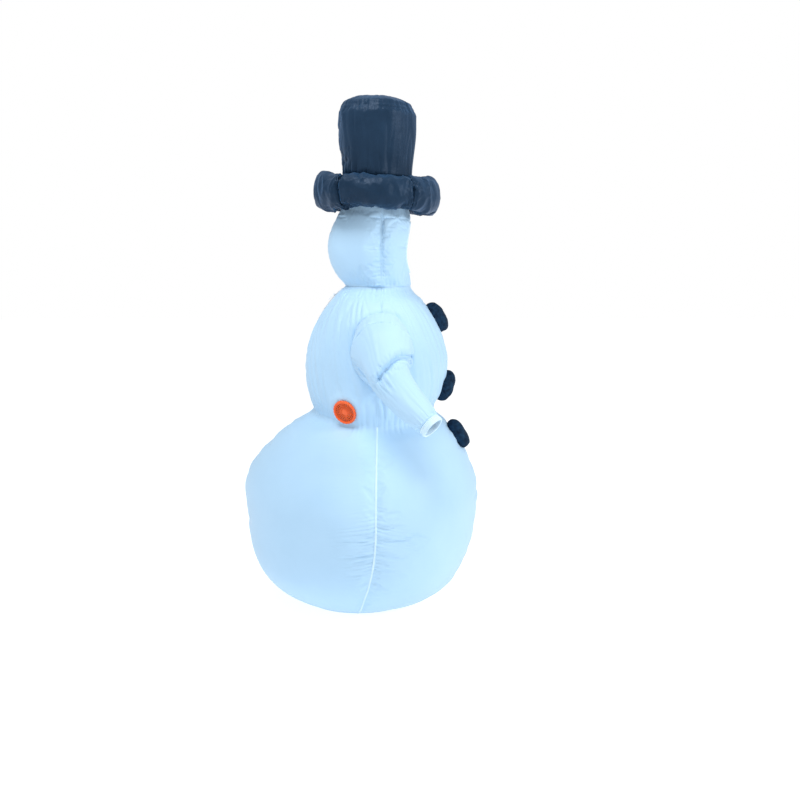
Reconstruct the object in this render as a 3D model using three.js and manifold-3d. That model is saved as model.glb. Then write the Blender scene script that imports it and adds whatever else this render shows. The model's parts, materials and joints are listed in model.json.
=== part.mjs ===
// Inflatable snowman costume, blown up and without its wearer: a two-ball body with a hood, sleeves and a top
// hat, a blower with its battery pack, and a zip up the back.
// Millimetres, +Z up. The snowman faces -Y, so its right-hand side is -X. The origin is on the floor, under
// the middle of the box around the whole costume.
import * as THREE from "three";
import { mergeVertices } from "three/addons/utils/BufferGeometryUtils.js";
import Module from "manifold-3d";

const wasm = await Module();
wasm.setup();

// ---------------------------------------------------------------- driving dimensions
const CLOTH = 1.2; // coated polyester with its seam allowance, as modelled
const GAP = 0.3; // between pieces that are sewn edge to edge
const PROUD = 0.35; // trim lies this far above the cloth it is sewn to
const BINDING = { width: 10, thickness: 0.8 };
const WAIST_BAND = { below: 20, width: 12, inset: 22, thickness: 1 };
const NECK_BAND = { below: 10, width: 10, inset: 15, thickness: 1 };

const WAIST_Z = 684;
const NECK_Z = 1108;
const HOOD_TOP_Z = 1376;
const WAIST_DIP = 30; // the waist seam hangs this much lower at the sides
const WAIST_DIP_SPAN = 110;

const HAT_Y = -65;
const HAT_SLOPE = { brim: 0.04, head: 0.02 }; // the hat leans forward: its level rings rise towards the back
const BRIM = { z: 1420, ring: 160, tube: 58, open: 139, segments: 5, pinch: 0.12, swell: 0.3 };
const CROWN = { foot: 1459, head: 1704, footRadius: 116, headRadius: 129, rise: 38 };

// The armhole is an oval that narrows below. The shoulder cap turns it into a circle at the joint's plane.
const ARM = { y: -86, z: 915, radius: 105, plane: -271 };
const ARMHOLE = { y: -85, z: 907, half: 98, up: 121, down: 136, narrow: 0.3, at: 260, tool: 200 };
const WRIST_RADIUS = 36;
const CUFF = { length: 20, thickness: 2.5, bulge: 3 };

const FACE = { z: 1240, halfWidth: 74, halfHeight: 88, cord: 5 };
const LEG = { x: 98, y: 14, radius: 80, cord: 5 };
const BUTTON = { radius: 53, depth: 40, corner: 10, hem: 12 };
const BUTTON_HEIGHTS = { top: 992, middle: 762, bottom: 578 };

// The torso's back is an arc seen from the side, so the zip's slider turns about the middle of that arc.
const ZIP = { y: -196, z: 815, radius: 379, slot: 5, foot: 704, head: 1090, parked: 1074, rows: 20 };
const TAPE = { from: 1.4, to: 13, thickness: 0.7, belowFoot: 12, aboveHead: 8 };
const COIL = { from: 0.9, to: 2.9, thickness: 1.8 };
const SLIDER = { length: 12, width: 9, plate: 1.4, neck: 1.1, play: 0.6, bar: 0.9 };
const TAB = { length: 26, width: 7, thickness: 1.6, eye: 2.8 };

const FAN = { z: 722, angle: -26, rim: 41, lobes: 16, duct: 34.5, wall: 2, inside: -36, clamp: -13 };
const MOTOR = { radius: 12, length: 20, shaft: 1.2 };
const IMPELLER = { hub: 10, tip: 30, height: 11, blades: 5, pitch: 35 };

const PACK = { z: 775, angle: -62, inset: 15, width: 63, height: 60, depth: 18.4, wall: 1.6, lid: 1.6 };
const POCKET = { room: 4, above: 12, reach: 0 };
const CELL = { radius: 7, length: 50, count: 4 };

// ---------------------------------------------------------------- materials
const material = (name, color, roughness, metalness = 0) =>
  Object.assign(new THREE.MeshStandardMaterial({ color, roughness, metalness }), { name });
const WHITE_CLOTH = material("white_cloth", 0xe9f2f8, 0.7);
const BLACK_CLOTH = material("black_cloth", 0x1f2b3a, 0.55);
const WHITE_ELASTIC = material("white_elastic", 0xf2f6f8, 0.85);
const BLACK_BUTTON = material("button_cloth", 0x1b2430, 0.8);
const ORANGE_PLASTIC = material("orange_plastic", 0xff5a14, 0.4);
const BLACK_PLASTIC = material("black_plastic", 0x17181a, 0.45);
const STEEL = material("motor_steel", 0xb9bcc0, 0.35, 1);
const ZIP_TAPE = material("zip_tape", 0xe6edf2, 0.8);
const ZIP_PLASTIC = material("zip_plastic", 0xf4f6f7, 0.4);
const CELL_SLEEVE = material("cell_sleeve", 0x2f6f4a, 0.4);

// ---------------------------------------------------------------- solids
const root = new THREE.Group();
const rad = THREE.MathUtils.degToRad;
const lerp = THREE.MathUtils.lerp;
const smooth = (x) => THREE.MathUtils.smoothstep(x, 0, 1);

// A closed geometry as a manifold-3d solid.
function solid(geometry) {
  const bare = geometry.clone();
  bare.deleteAttribute("normal");
  bare.deleteAttribute("uv");
  const merged = mergeVertices(bare, 1e-4);
  return new wasm.Manifold(
    new wasm.Mesh({
      numProp: 3,
      vertProperties: merged.attributes.position.array,
      triVerts: new Uint32Array(merged.index.array),
    }),
  );
}

function geometryOf(made) {
  const mesh = made.getMesh();
  const geometry = new THREE.BufferGeometry();
  geometry.setAttribute("position", new THREE.BufferAttribute(new Float32Array(mesh.vertProperties), 3));
  geometry.setIndex(new THREE.BufferAttribute(new Uint32Array(mesh.triVerts), 1));
  geometry.computeVertexNormals();
  return geometry;
}

function cut(geometry, ...tools) {
  return geometryOf(tools.reduce((made, tool) => made.subtract(solid(tool)), solid(geometry)));
}
const join = (...pieces) => geometryOf(pieces.map(solid).reduce((made, piece) => made.add(piece)));

function add(name, geometry, finish, parent = root) {
  const mesh = new THREE.Mesh(geometry, finish);
  mesh.name = name;
  parent.add(mesh);
  return mesh;
}

// The outward normal of a surface given as a function of (u, v), where u x v points out.
function normalAt(surface, u, v) {
  const step = 1e-3;
  const du = surface(u + step, v).sub(surface(u - step, v));
  const dv = surface(u, v + step).sub(surface(u, v - step));
  return du.cross(dv).normalize();
}

// A sheet of cloth on a surface: a thin box with many segments, bent so that its outer face is the surface
// raised by `lift`. u and v run from 0 to 1 across and up the sheet.
function bentSheet(surface, across, up, thickness = CLOTH, lift = 0) {
  const box = new THREE.BoxGeometry(1, 1, 1, across, up, 1);
  const place = box.attributes.position;
  for (let i = 0; i < place.count; i++) {
    const [u, v, out] = [place.getX(i) + 0.5, place.getY(i) + 0.5, place.getZ(i) + 0.5];
    const point = surface(u, v).addScaledVector(normalAt(surface, u, v), lift + (out - 1) * thickness);
    place.setXYZ(i, point.x, point.y, point.z);
  }
  box.computeVertexNormals();
  return box;
}

// A tube of cloth with open ends: a thin-walled lathe, bent so that its outer face is the surface.
function bentTube(surface, around, along, thickness = CLOTH) {
  const profile = [];
  for (let i = 0; i <= along; i++) profile.push(new THREE.Vector2(2, i / along));
  for (let i = along; i >= 0; i--) profile.push(new THREE.Vector2(1, i / along));
  profile.push(profile[0].clone());
  const tube = new THREE.LatheGeometry(profile, around);
  const place = tube.attributes.position;
  for (let i = 0; i < place.count; i++) {
    const [x, z] = [place.getX(i), place.getZ(i)];
    const [u, v, out] = [Math.atan2(x, z) / (2 * Math.PI), place.getY(i), Math.round(Math.hypot(x, z)) - 1];
    const point = surface(u, v).addScaledVector(normalAt(surface, u, v), (out - 1) * thickness);
    place.setXYZ(i, point.x, point.y, point.z);
  }
  tube.computeVertexNormals();
  return tube;
}

// A round cord along a closed loop that runs anticlockwise about `axis`. The loop is a function of u, 0 to 1.
function cordRing(loop, axis, radius, around, sides = 8) {
  const torus = new THREE.TorusGeometry(2, 1, sides, around);
  const place = torus.attributes.position;
  for (let i = 0; i < place.count; i++) {
    const [x, y, z] = [place.getX(i), place.getY(i), place.getZ(i)];
    const u = Math.atan2(y, x) / (2 * Math.PI);
    const ahead = loop(u + 1e-3).sub(loop(u - 1e-3));
    const outward = ahead.cross(axis).normalize();
    const point = loop(u).addScaledVector(outward, (Math.hypot(x, y) - 2) * radius);
    point.addScaledVector(axis, z * radius);
    place.setXYZ(i, point.x, point.y, point.z);
  }
  torus.computeVertexNormals();
  return torus;
}

function lathe(pairs, segments) {
  const profile = [...pairs, pairs[0]].map(([r, h]) => new THREE.Vector2(r, h));
  return new THREE.LatheGeometry(profile, segments).rotateX(Math.PI / 2);
}

// ---------------------------------------------------------------- the body's skin
// One row per level: height, rearmost y, foremost y, half the width.
const BALL_LEVELS = [
  [0, 214, -214, 222],
  [22, 252, -278, 270],
  [62, 303, -325, 327],
  [125, 357, -360, 378],
  [210, 389, -393, 414],
  [320, 405, -410, 432],
  [410, 411, -413, 430],
  [485, 384, -393, 402],
  [555, 322, -352, 350],
  [625, 247, -308, 290],
  [WAIST_Z, 160, -262, 236],
];
const TORSO_LEVELS = [
  [WAIST_Z, 0, -262, 236],
  [745, 0, -289, 253],
  [815, 0, -304, 264],
  [875, 0, -305, 268],
  [940, 0, -288, 262],
  [1000, 0, -260, 240],
  [1050, 0, -222, 200],
  [NECK_Z, 0, -180, 118],
];
const HOOD_LEVELS = [
  [NECK_Z, 44.4, -180, 118],
  [1140, 68, -176, 128],
  [1185, 96, -176, 140],
  [1235, 106, -180, 147],
  [1290, 96, -185, 144],
  [1340, 72, -184, 130],
  [HOOD_TOP_Z, 51, -181, 116],
];

function spline(levels) {
  const heights = levels.map((level) => level[0]);
  const values = levels.flatMap((level) => level.slice(1));
  const curve = new THREE.CubicInterpolant(heights, values, 3);
  return (z) => curve.evaluate(THREE.MathUtils.clamp(z, heights[0], heights.at(-1)));
}
const ballAt = spline(BALL_LEVELS);
const torsoAt = spline(TORSO_LEVELS);
const hoodAt = spline(HOOD_LEVELS);

const arcBack = (z) => ZIP.y + Math.sqrt(ZIP.radius ** 2 - (z - ZIP.z) ** 2);
// The side seams lie a little in front of the middle, and run back under the ball.
const seamY = (z) => -68 - 16 * smooth((z - 850) / 260) + 68 * Math.max(0, 1 - z / 360) ** 2;

// A point of the skin. The angle is 0 at the right-hand side seam, 90 at the front, 180 at the left-hand seam
// and -90 at the back.
function skinPoint(outline, z, angle) {
  const [back, front, half] = outline(z);
  const turn = rad(angle);
  const seam = seamY(z);
  const y = seam + (Math.sin(turn) < 0 ? seam - back : front - seam) * Math.sin(turn);
  const dip = WAIST_DIP * Math.cos(turn) ** 2 * Math.exp(-(((z - WAIST_Z) / WAIST_DIP_SPAN) ** 2));
  return new THREE.Vector3(-half * Math.cos(turn), y, z - dip);
}
const ballSkin = (z, angle) => skinPoint((h) => ballAt(h), z, angle);
const torsoOutline = (z) => [arcBack(z), torsoAt(z)[1], torsoAt(z)[2]];
const torsoSkin = (z, angle) => skinPoint(torsoOutline, z, angle);
// The hood's top edge leans with the hat.
function hoodSkin(z, angle) {
  const point = skinPoint((h) => hoodAt(h), z, angle);
  point.z += HAT_SLOPE.brim * (point.y - HAT_Y) * smooth((z - 1250) / (HOOD_TOP_Z - 1250));
  return point;
}

const bunched = (v) => 0.5 - 0.5 * Math.cos(Math.PI * v); // rows closer together at both ends
const SEAM_ANGLE = 0.06;

// A panel of the skin between two heights and two angles, in degrees.
function panel(skin, [low, high], [from, to], across, up, rows = (v) => v) {
  const surface = (u, v) =>
    skin(lerp(low + GAP / 2, high - GAP / 2, rows(v)), lerp(from + SEAM_ANGLE, to - SEAM_ANGLE, u));
  return bentSheet(surface, across, up);
}
// A narrow strip of binding on the skin, centred on one angle, with the same rows as the panels under it.
function binding(skin, [low, high], angle, up, rows) {
  const surface = (u, v) => {
    const z = lerp(low + GAP / 2, high - GAP / 2, rows(v));
    const middle = skin(z, angle);
    const along = skin(z, angle + 1).sub(skin(z, angle - 1)).normalize();
    return middle.addScaledVector(along, (u - 0.5) * BINDING.width);
  };
  return bentSheet(surface, 1, up, BINDING.thickness, PROUD + BINDING.thickness);
}

const QUARTERS = { right_back: [-90, 0], right_front: [0, 90], left_front: [90, 180], left_back: [180, 270] };
const BALL_ROWS = 10;
const TORSO_ROWS = 9;
const HOOD_ROWS = 7;
const ARM_SIDES = 24;

// ---------------------------------------------------------------- the lower ball
for (const [quarter, angles] of Object.entries(QUARTERS)) {
  add(`ball_panel_${quarter}`, panel(ballSkin, [0, WAIST_Z], angles, 6, BALL_ROWS, bunched), WHITE_CLOTH);
}

function basePanel() {
  const outline = new THREE.Shape();
  outline.absellipse(0, 0, BALL_LEVELS[0][3] - 3, BALL_LEVELS[0][1] - 3, 0, 2 * Math.PI);
  for (const side of [-1, 1]) {
    const hole = new THREE.Path();
    hole.absarc(side * LEG.x, LEG.y, LEG.radius, 0, 2 * Math.PI, true);
    outline.holes.push(hole);
  }
  return new THREE.ExtrudeGeometry(outline, { depth: CLOTH, bevelEnabled: false, curveSegments: 12 });
}
add("base_panel", basePanel(), WHITE_CLOTH);

for (const [side, sign] of [["right", -1], ["left", 1]]) {
  const ring = LEG.radius - LEG.cord - GAP;
  const loop = (u) => {
    const turn = 2 * Math.PI * u;
    return new THREE.Vector3(sign * LEG.x + ring * Math.cos(turn), LEG.y + ring * Math.sin(turn), LEG.cord);
  };
  add(`leg_elastic_${side}`, cordRing(loop, new THREE.Vector3(0, 0, 1), LEG.cord, 20, 6), WHITE_ELASTIC);
}

// ---------------------------------------------------------------- the torso
// The two back panels stop short of the middle, where the zip's tapes bridge the slot between them.
function torsoBackPanel([from, to]) {
  const surface = (u, v) => {
    const z = lerp(WAIST_Z + GAP / 2, NECK_Z - GAP / 2, v);
    const slot = THREE.MathUtils.radToDeg(Math.asin(ZIP.slot / torsoAt(z)[2]));
    const start = from < 0 ? from + slot : from + SEAM_ANGLE;
    const end = to > 180 ? to - slot : to - SEAM_ANGLE;
    return torsoSkin(z, lerp(start, end, u));
  };
  return bentSheet(surface, 6, TORSO_ROWS);
}

// A short rod across the cloth at a point of the skin, along the direction given.
function rodThrough(point, direction, radius, length, segments = 32) {
  const rod = new THREE.CylinderGeometry(radius, radius, length, segments);
  rod.applyQuaternion(new THREE.Quaternion().setFromUnitVectors(new THREE.Vector3(0, 1, 0), direction));
  return rod.translate(point.x, point.y, point.z);
}
function outwardAt(skin, z, angle) {
  return normalAt((u, v) => skin(z + v * 100, angle + u * 100), 0, 0);
}

const fanPoint = torsoSkin(FAN.z, FAN.angle);
const fanOut = outwardAt(torsoSkin, FAN.z, FAN.angle);
// A point of the armhole's outline in the side view: its y and z, for a turn from the back over the top.
function armHoleEdge(turn, clearance = 0) {
  const [c, s] = [Math.cos(turn), Math.sin(turn)];
  const reach = (ARMHOLE.half + clearance) * (s < 0 ? 1 - ARMHOLE.narrow * s * s : 1);
  return [ARMHOLE.y - reach * c, ARMHOLE.z + (s < 0 ? ARMHOLE.down : ARMHOLE.up) * s + clearance * s];
}
function armHole(sign) {
  const outline = new THREE.Shape();
  for (let i = 0; i < ARM_SIDES; i++) {
    const turn = (2 * Math.PI * i) / ARM_SIDES;
    outline[i ? "lineTo" : "moveTo"](...armHoleEdge(turn, GAP));
  }
  const through = new THREE.ExtrudeGeometry(outline, { depth: ARMHOLE.tool, bevelEnabled: false });
  const [x, y, z] = [new THREE.Vector3(1, 0, 0), new THREE.Vector3(0, 1, 0), new THREE.Vector3(0, 0, 1)];
  through.applyMatrix4(new THREE.Matrix4().makeBasis(y, z, x));
  return through.translate(sign * ARMHOLE.at - ARMHOLE.tool / 2, 0, 0);
}

for (const [quarter, angles] of Object.entries(QUARTERS)) {
  const isBack = quarter.endsWith("back");
  const whole = isBack ? torsoBackPanel(angles) : panel(torsoSkin, [WAIST_Z, NECK_Z], angles, 6, TORSO_ROWS);
  const tools = [armHole(quarter.startsWith("right") ? -1 : 1)];
  if (quarter === "right_back") tools.push(rodThrough(fanPoint, fanOut, FAN.duct + 0.8, 60, 24));
  add(`torso_panel_${quarter}`, cut(whole, ...tools), WHITE_CLOTH);
}

// A flat elastic band inside a seam, all the way round.
function innerBand(skin, seamZ, { below, width, inset, thickness }) {
  const level = seamZ - below;
  const surface = (u, v) => {
    const point = skin(level, 360 * u);
    const inward = outwardAt(skin, level, 360 * u).setZ(0).normalize().multiplyScalar(-inset);
    return point.add(inward).add(new THREE.Vector3(0, 0, (v - 0.5) * width));
  };
  return bentTube(surface, 32, 1, thickness);
}
add("waist_elastic", innerBand(ballSkin, WAIST_Z, WAIST_BAND), WHITE_ELASTIC);
add("neck_elastic", innerBand(torsoSkin, NECK_Z, NECK_BAND), WHITE_ELASTIC);

// ---------------------------------------------------------------- shoulders, sleeves and cuffs
// How far out the torso's side is at a point of the side view.
function torsoSideX(y, z) {
  const [back, front, half] = torsoOutline(z);
  const seam = seamY(z);
  const reach = (y - seam) / (y > seam ? back - seam : front - seam);
  return half * Math.sqrt(1 - reach ** 2);
}

// The right-hand sleeve cap: from the armhole out to a flat round edge.
function shoulderCap(u, v) {
  const turn = 2 * Math.PI * u;
  const [holeY, holeZ] = armHoleEdge(turn);
  const [across, up] = [ARM.radius * Math.cos(turn), ARM.radius * Math.sin(turn)];
  const edge = new THREE.Vector3(ARM.plane, ARM.y - across, ARM.z + up);
  return new THREE.Vector3(1 - torsoSideX(holeY, holeZ), holeY, holeZ).lerp(edge, v);
}

const armPath = new THREE.CatmullRomCurve3([
  new THREE.Vector3(ARM.plane - 0.8, ARM.y, ARM.z),
  new THREE.Vector3(-322, -91, 898),
  new THREE.Vector3(-373, -112, 838),
  new THREE.Vector3(-422, -168, 766),
  new THREE.Vector3(-462, -232, 704),
]);
const SLEEVE_GIRTH = new THREE.SplineCurve([
  new THREE.Vector2(0, ARM.radius),
  new THREE.Vector2(0.25, 92),
  new THREE.Vector2(0.5, 70),
  new THREE.Vector2(0.75, 58),
  new THREE.Vector2(0.92, 52),
  new THREE.Vector2(1, WRIST_RADIUS),
]);

// A ring of the sleeve: its direction turns from straight out to along the arm.
function armRing(s, radius, turn) {
  const out = new THREE.Vector3(-1, 0, 0);
  const heading = out.lerp(armPath.getTangent(s), smooth(s / 0.55)).normalize();
  const down = new THREE.Vector3().crossVectors(heading, new THREE.Vector3(0, 1, 0)).normalize();
  const across = new THREE.Vector3().crossVectors(down, heading);
  return armPath
    .getPoint(s)
    .addScaledVector(across, -radius * Math.cos(turn))
    .addScaledVector(down, -radius * Math.sin(turn));
}
const sleeveSkin = (u, v) => {
  const along = THREE.MathUtils.clamp(v, 0, 1);
  return armRing(along, SLEEVE_GIRTH.getPoint(along).y, 2 * Math.PI * u);
};
const wrist = armPath.getPoint(1);
const wristHeading = armPath.getTangent(1);

function cuffSkin(u, v) {
  const bulge = CUFF.bulge * Math.sin(Math.PI * v);
  const ring = armRing(1, WRIST_RADIUS - 1 + bulge, 2 * Math.PI * u);
  return ring.addScaledVector(wristHeading, GAP + 0.5 + v * CUFF.length);
}

const mirrored = (mesh) => mesh.scale.setX(-1);
const capShape = bentTube(shoulderCap, ARM_SIDES, 1);
const sleeveShape = bentTube(sleeveSkin, 16, 8);
const cuffShape = bentTube(cuffSkin, 18, 2, CUFF.thickness);
for (const side of ["right", "left"]) {
  const pieces = [
    add(`shoulder_cap_${side}`, capShape, WHITE_CLOTH),
    add(`sleeve_${side}`, sleeveShape, WHITE_CLOTH),
    add(`wrist_cuff_${side}`, cuffShape, WHITE_ELASTIC),
  ];
  if (side === "left") pieces.forEach(mirrored);
}

// ---------------------------------------------------------------- the hood
const faceShape = new THREE.Shape();
faceShape.absellipse(0, 0, FACE.halfWidth, FACE.halfHeight, 0, 2 * Math.PI);
const faceTool = new THREE.ExtrudeGeometry(faceShape, { depth: 160, bevelEnabled: false, curveSegments: 14 })
  .rotateX(Math.PI / 2)
  .translate(0, -110, FACE.z);
const hoodRange = [NECK_Z + GAP, HOOD_TOP_Z];
add("hood_panel_front", cut(panel(hoodSkin, hoodRange, [0, 180], 12, HOOD_ROWS), faceTool), WHITE_CLOTH);
add("hood_panel_right_back", panel(hoodSkin, hoodRange, [-90, 0], 6, HOOD_ROWS), WHITE_CLOTH);
add("hood_panel_left_back", panel(hoodSkin, hoodRange, [180, 270], 6, HOOD_ROWS), WHITE_CLOTH);

// The face opening's elastic lies just inside the edge of the opening.
function faceLoop(u) {
  const turn = 2 * Math.PI * u;
  const shrink = FACE.cord + 1.5;
  const x = (FACE.halfWidth - shrink) * Math.cos(turn);
  const z = FACE.z + (FACE.halfHeight - shrink) * Math.sin(turn);
  const [, front, half] = hoodAt(z);
  const seam = seamY(z);
  return new THREE.Vector3(x, seam + (front - seam) * Math.sqrt(1 - (x / half) ** 2) + 2, z);
}
add("face_elastic", cordRing(faceLoop, new THREE.Vector3(0, -1, 0), FACE.cord, 28, 6), WHITE_ELASTIC);

// ---------------------------------------------------------------- seam bindings
const SIDES = { right: 0, left: 180 };
for (const [side, angle] of Object.entries(SIDES)) {
  add(`side_seam_ball_${side}`, binding(ballSkin, [0, WAIST_Z], angle, BALL_ROWS, bunched), WHITE_ELASTIC);
}

// ---------------------------------------------------------------- the hat
// A point of the hat: distance from its axis, angle round it in degrees, and height before it leans.
function hatPoint(radius, angle, height) {
  const share = THREE.MathUtils.clamp((height - CROWN.foot) / (CROWN.head - CROWN.foot), 0, 1);
  const y = HAT_Y - radius * Math.sin(rad(angle));
  const lean = lerp(HAT_SLOPE.brim, HAT_SLOPE.head, share) * (y - HAT_Y);
  return new THREE.Vector3(-radius * Math.cos(rad(angle)), y, height + lean);
}

// The brim's tube is open on its inner side, to the air inside the hat. It is pinched in at each radial seam,
// and swells higher at the front and the back.
function brimSkin(angle, turn, share) {
  const outward = Math.cos(rad((turn * 90) / BRIM.open));
  const tube = BRIM.tube * (1 - BRIM.pinch * Math.abs(2 * share - 1) ** 3 * outward ** 2);
  const tall = 1 + BRIM.swell * outward * Math.sin(rad(angle)) ** 2;
  return hatPoint(BRIM.ring + tube * Math.cos(rad(turn)), angle, BRIM.z + tube * tall * Math.sin(rad(turn)));
}
const SEGMENT = 360 / BRIM.segments;
for (let i = 0; i < BRIM.segments; i++) {
  const surface = (u, v) =>
    brimSkin((i - 0.5 + u) * SEGMENT + lerp(0.1, -0.1, u), lerp(-BRIM.open, BRIM.open, v), u);
  add(`hat_brim_segment_${i + 1}`, bentSheet(surface, 6, 8), BLACK_CLOTH);
}

const crownRadius = (v) => lerp(CROWN.footRadius, CROWN.headRadius, smooth(v * 1.35));
const crownSkin = (u, v) => hatPoint(crownRadius(v), -360 * u, lerp(CROWN.foot, CROWN.head, v));
add("hat_crown_side", bentTube((u, v) => crownSkin(-u, v), 24, 3), BLACK_CLOTH);

function crownTop() {
  const rim = CROWN.headRadius;
  const outer = (share) => [rim * share, CROWN.rise * (1 - share ** 2.6)];
  const shares = [0, 0.5, 0.8, 1];
  const above = shares.map(outer);
  const below = shares.toReversed().map((share) => [outer(share)[0] * 0.99, outer(share)[1] - CLOTH]);
  const foot = CROWN.head + CLOTH + GAP;
  const dome = lathe([...above, ...below].map(([r, h]) => [r, h + foot]).toReversed(), 24);
  const lean = new THREE.Matrix4();
  lean.elements[6] = HAT_SLOPE.head; // z gains this share of y
  return dome.applyMatrix4(lean).translate(0, HAT_Y, 0);
}
add("hat_crown_top", crownTop(), BLACK_CLOTH);

// ---------------------------------------------------------------- the buttons
// Bends a lathe shape, made round +Z, onto the front of the skin: its Z becomes height above the cloth.
function onFront(geometry, level) {
  const skin = level < WAIST_Z ? ballSkin : torsoSkin;
  const half = (level < WAIST_Z ? ballAt : torsoAt)(level)[2];
  const out = outwardAt(skin, level, 90);
  const rise = Math.hypot(out.x, out.y);
  const place = geometry.attributes.position;
  for (let i = 0; i < place.count; i++) {
    const [x, y, height] = [place.getX(i), place.getY(i), place.getZ(i)];
    const point = skin(level + y * rise, 90 + THREE.MathUtils.radToDeg(Math.asin(x / half)));
    point.addScaledVector(out, height);
    place.setXYZ(i, point.x, point.y, point.z);
  }
  geometry.computeVertexNormals();
  return geometry;
}

function buttonCover() {
  const { radius, depth, corner, hem } = BUTTON;
  const inner = radius - CLOTH;
  return lathe(
    [
      [radius - hem, PROUD],
      [radius - 2, PROUD],
      [radius, corner],
      [radius - 1, depth - corner],
      [radius - corner, depth],
      [0, depth + 2],
      [0, depth + 2 - CLOTH],
      [radius - corner - 1, depth - CLOTH],
      [inner - 1, depth - corner - 1],
      [inner, corner],
      [inner - 2, PROUD + CLOTH],
      [radius - hem, PROUD + CLOTH],
    ],
    16,
  );
}

function buttonFilling() {
  const { radius, depth, corner } = BUTTON;
  const core = radius - CLOTH - 2;
  return lathe(
    [
      [0, 3],
      [core - 6, 3],
      [core, corner],
      [core - 1.5, depth - corner - 3],
      [core - corner, depth - 4],
      [0, depth - 2.5],
    ],
    16,
  );
}

for (const [name, level] of Object.entries(BUTTON_HEIGHTS)) {
  add(`button_cover_${name}`, onFront(buttonCover(), level), BLACK_BUTTON);
  add(`button_filling_${name}`, onFront(buttonFilling(), level), WHITE_ELASTIC);
}

// ---------------------------------------------------------------- the zip
// A point of the zip: sideways from the middle, by its height along the arc, and its height above the cloth.
function zipPoint(side, level, above) {
  const turn = Math.asin((level - ZIP.z) / ZIP.radius);
  const reach = ZIP.radius + above;
  return new THREE.Vector3(side, ZIP.y + reach * Math.cos(turn), ZIP.z + reach * Math.sin(turn));
}
function zipStrip(from, to, foot, head, above, thickness, rows = ZIP.rows) {
  const surface = (u, v) => zipPoint(lerp(to, from, u), lerp(foot, head, v), above);
  return bentSheet(surface, 1, rows, thickness);
}

const TAPE_TOP = PROUD + TAPE.thickness;
const COIL_TOP = TAPE_TOP + GAP + COIL.thickness;
for (const [side, sign] of [["right", -1], ["left", 1]]) {
  const edges = (from, to) => (sign < 0 ? [-to, -from] : [from, to]);
  const [tapeFoot, tapeHead] = [ZIP.foot - TAPE.belowFoot, ZIP.head + TAPE.aboveHead];
  const tape = zipStrip(...edges(TAPE.from, TAPE.to), tapeFoot, tapeHead, TAPE_TOP, TAPE.thickness);
  const coil = zipStrip(...edges(COIL.from, COIL.to), ZIP.foot, ZIP.head, COIL_TOP, COIL.thickness);
  add(`zip_tape_${side}`, tape, ZIP_TAPE);
  add(`zip_coil_${side}`, coil, ZIP_PLASTIC);
}
const stop = zipStrip(-COIL.to, COIL.to, ZIP.foot - 5, ZIP.foot - 0.6, COIL_TOP, COIL.thickness, 1);
add("zip_bottom_stop", stop, ZIP_PLASTIC);

// The slider is built lying flat at the origin, its length along Y and its top along +Z, and then set on the
// arc.
const block = (x, y, z, atX, atY, atZ) => new THREE.BoxGeometry(x, y, z).translate(atX, atY, atZ);
const rodX = (radius, length, y, z, segments = 12) =>
  new THREE.CylinderGeometry(radius, radius, length, segments).rotateZ(Math.PI / 2).translate(0, y, z);
const SLIDER_TOP = COIL_TOP + SLIDER.play + SLIDER.plate;
const BAR_Z = SLIDER_TOP + 2.4;

function slider() {
  const under = PROUD - SLIDER.play - SLIDER.plate;
  const cheek = (side) => block(1.2, 4, 3.6, side * (SLIDER.width / 2 - 0.8), 1, SLIDER_TOP + 1.6);
  return join(
    block(SLIDER.width, SLIDER.length, SLIDER.plate, 0, 0, SLIDER_TOP - SLIDER.plate / 2),
    block(SLIDER.width, SLIDER.length, SLIDER.plate, 0, 0, under + SLIDER.plate / 2),
    block(SLIDER.neck, SLIDER.length / 2, SLIDER_TOP - under - 1, 0, 2, (SLIDER_TOP + under) / 2),
    cheek(-1),
    cheek(1),
    rodX(SLIDER.bar, SLIDER.width - 2, 1, BAR_Z),
  );
}
function pullTab() {
  const plate = block(SLIDER.width - 3.4, TAB.length, TAB.thickness, 0, 1 - TAB.length / 2 - 1.6, BAR_Z);
  const eye = rodX(2.2, SLIDER.width - 3.4, 1, BAR_Z);
  const hang = new THREE.CylinderGeometry(TAB.eye / 2, TAB.eye / 2, 6, 10).rotateX(Math.PI / 2);
  hang.translate(0, 5 - TAB.length, BAR_Z);
  return cut(join(plate, eye), rodX(SLIDER.bar + GAP, 20, 1, BAR_Z), hang);
}
const sliderSeat = new THREE.Group();
const parkedTurn = Math.asin((ZIP.parked - ZIP.z) / ZIP.radius);
sliderSeat.position.copy(zipPoint(0, ZIP.parked, 0));
// Local Y runs up the arc, local Z out of the cloth and local X across it.
sliderSeat.quaternion.setFromRotationMatrix(
  new THREE.Matrix4().makeBasis(
    new THREE.Vector3(-1, 0, 0),
    new THREE.Vector3(0, -Math.sin(parkedTurn), Math.cos(parkedTurn)),
    new THREE.Vector3(0, Math.cos(parkedTurn), Math.sin(parkedTurn)),
  ),
);
root.add(sliderSeat);
add("zip_slider", slider(), ZIP_PLASTIC, sliderSeat);
add("zip_pull_tab", pullTab(), ZIP_PLASTIC, sliderSeat);

// ---------------------------------------------------------------- the blower
// Local Z is the blower's axis, out of the costume, with its zero on the cloth.
const blower = new THREE.Group();
blower.position.copy(fanPoint);
blower.quaternion.setFromUnitVectors(new THREE.Vector3(0, 0, 1), fanOut);
root.add(blower);

const BORE = FAN.duct - FAN.wall;
const MOTOR_FOOT = FAN.inside + 3;
const MOTOR_HEAD = MOTOR_FOOT + MOTOR.length;

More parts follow.
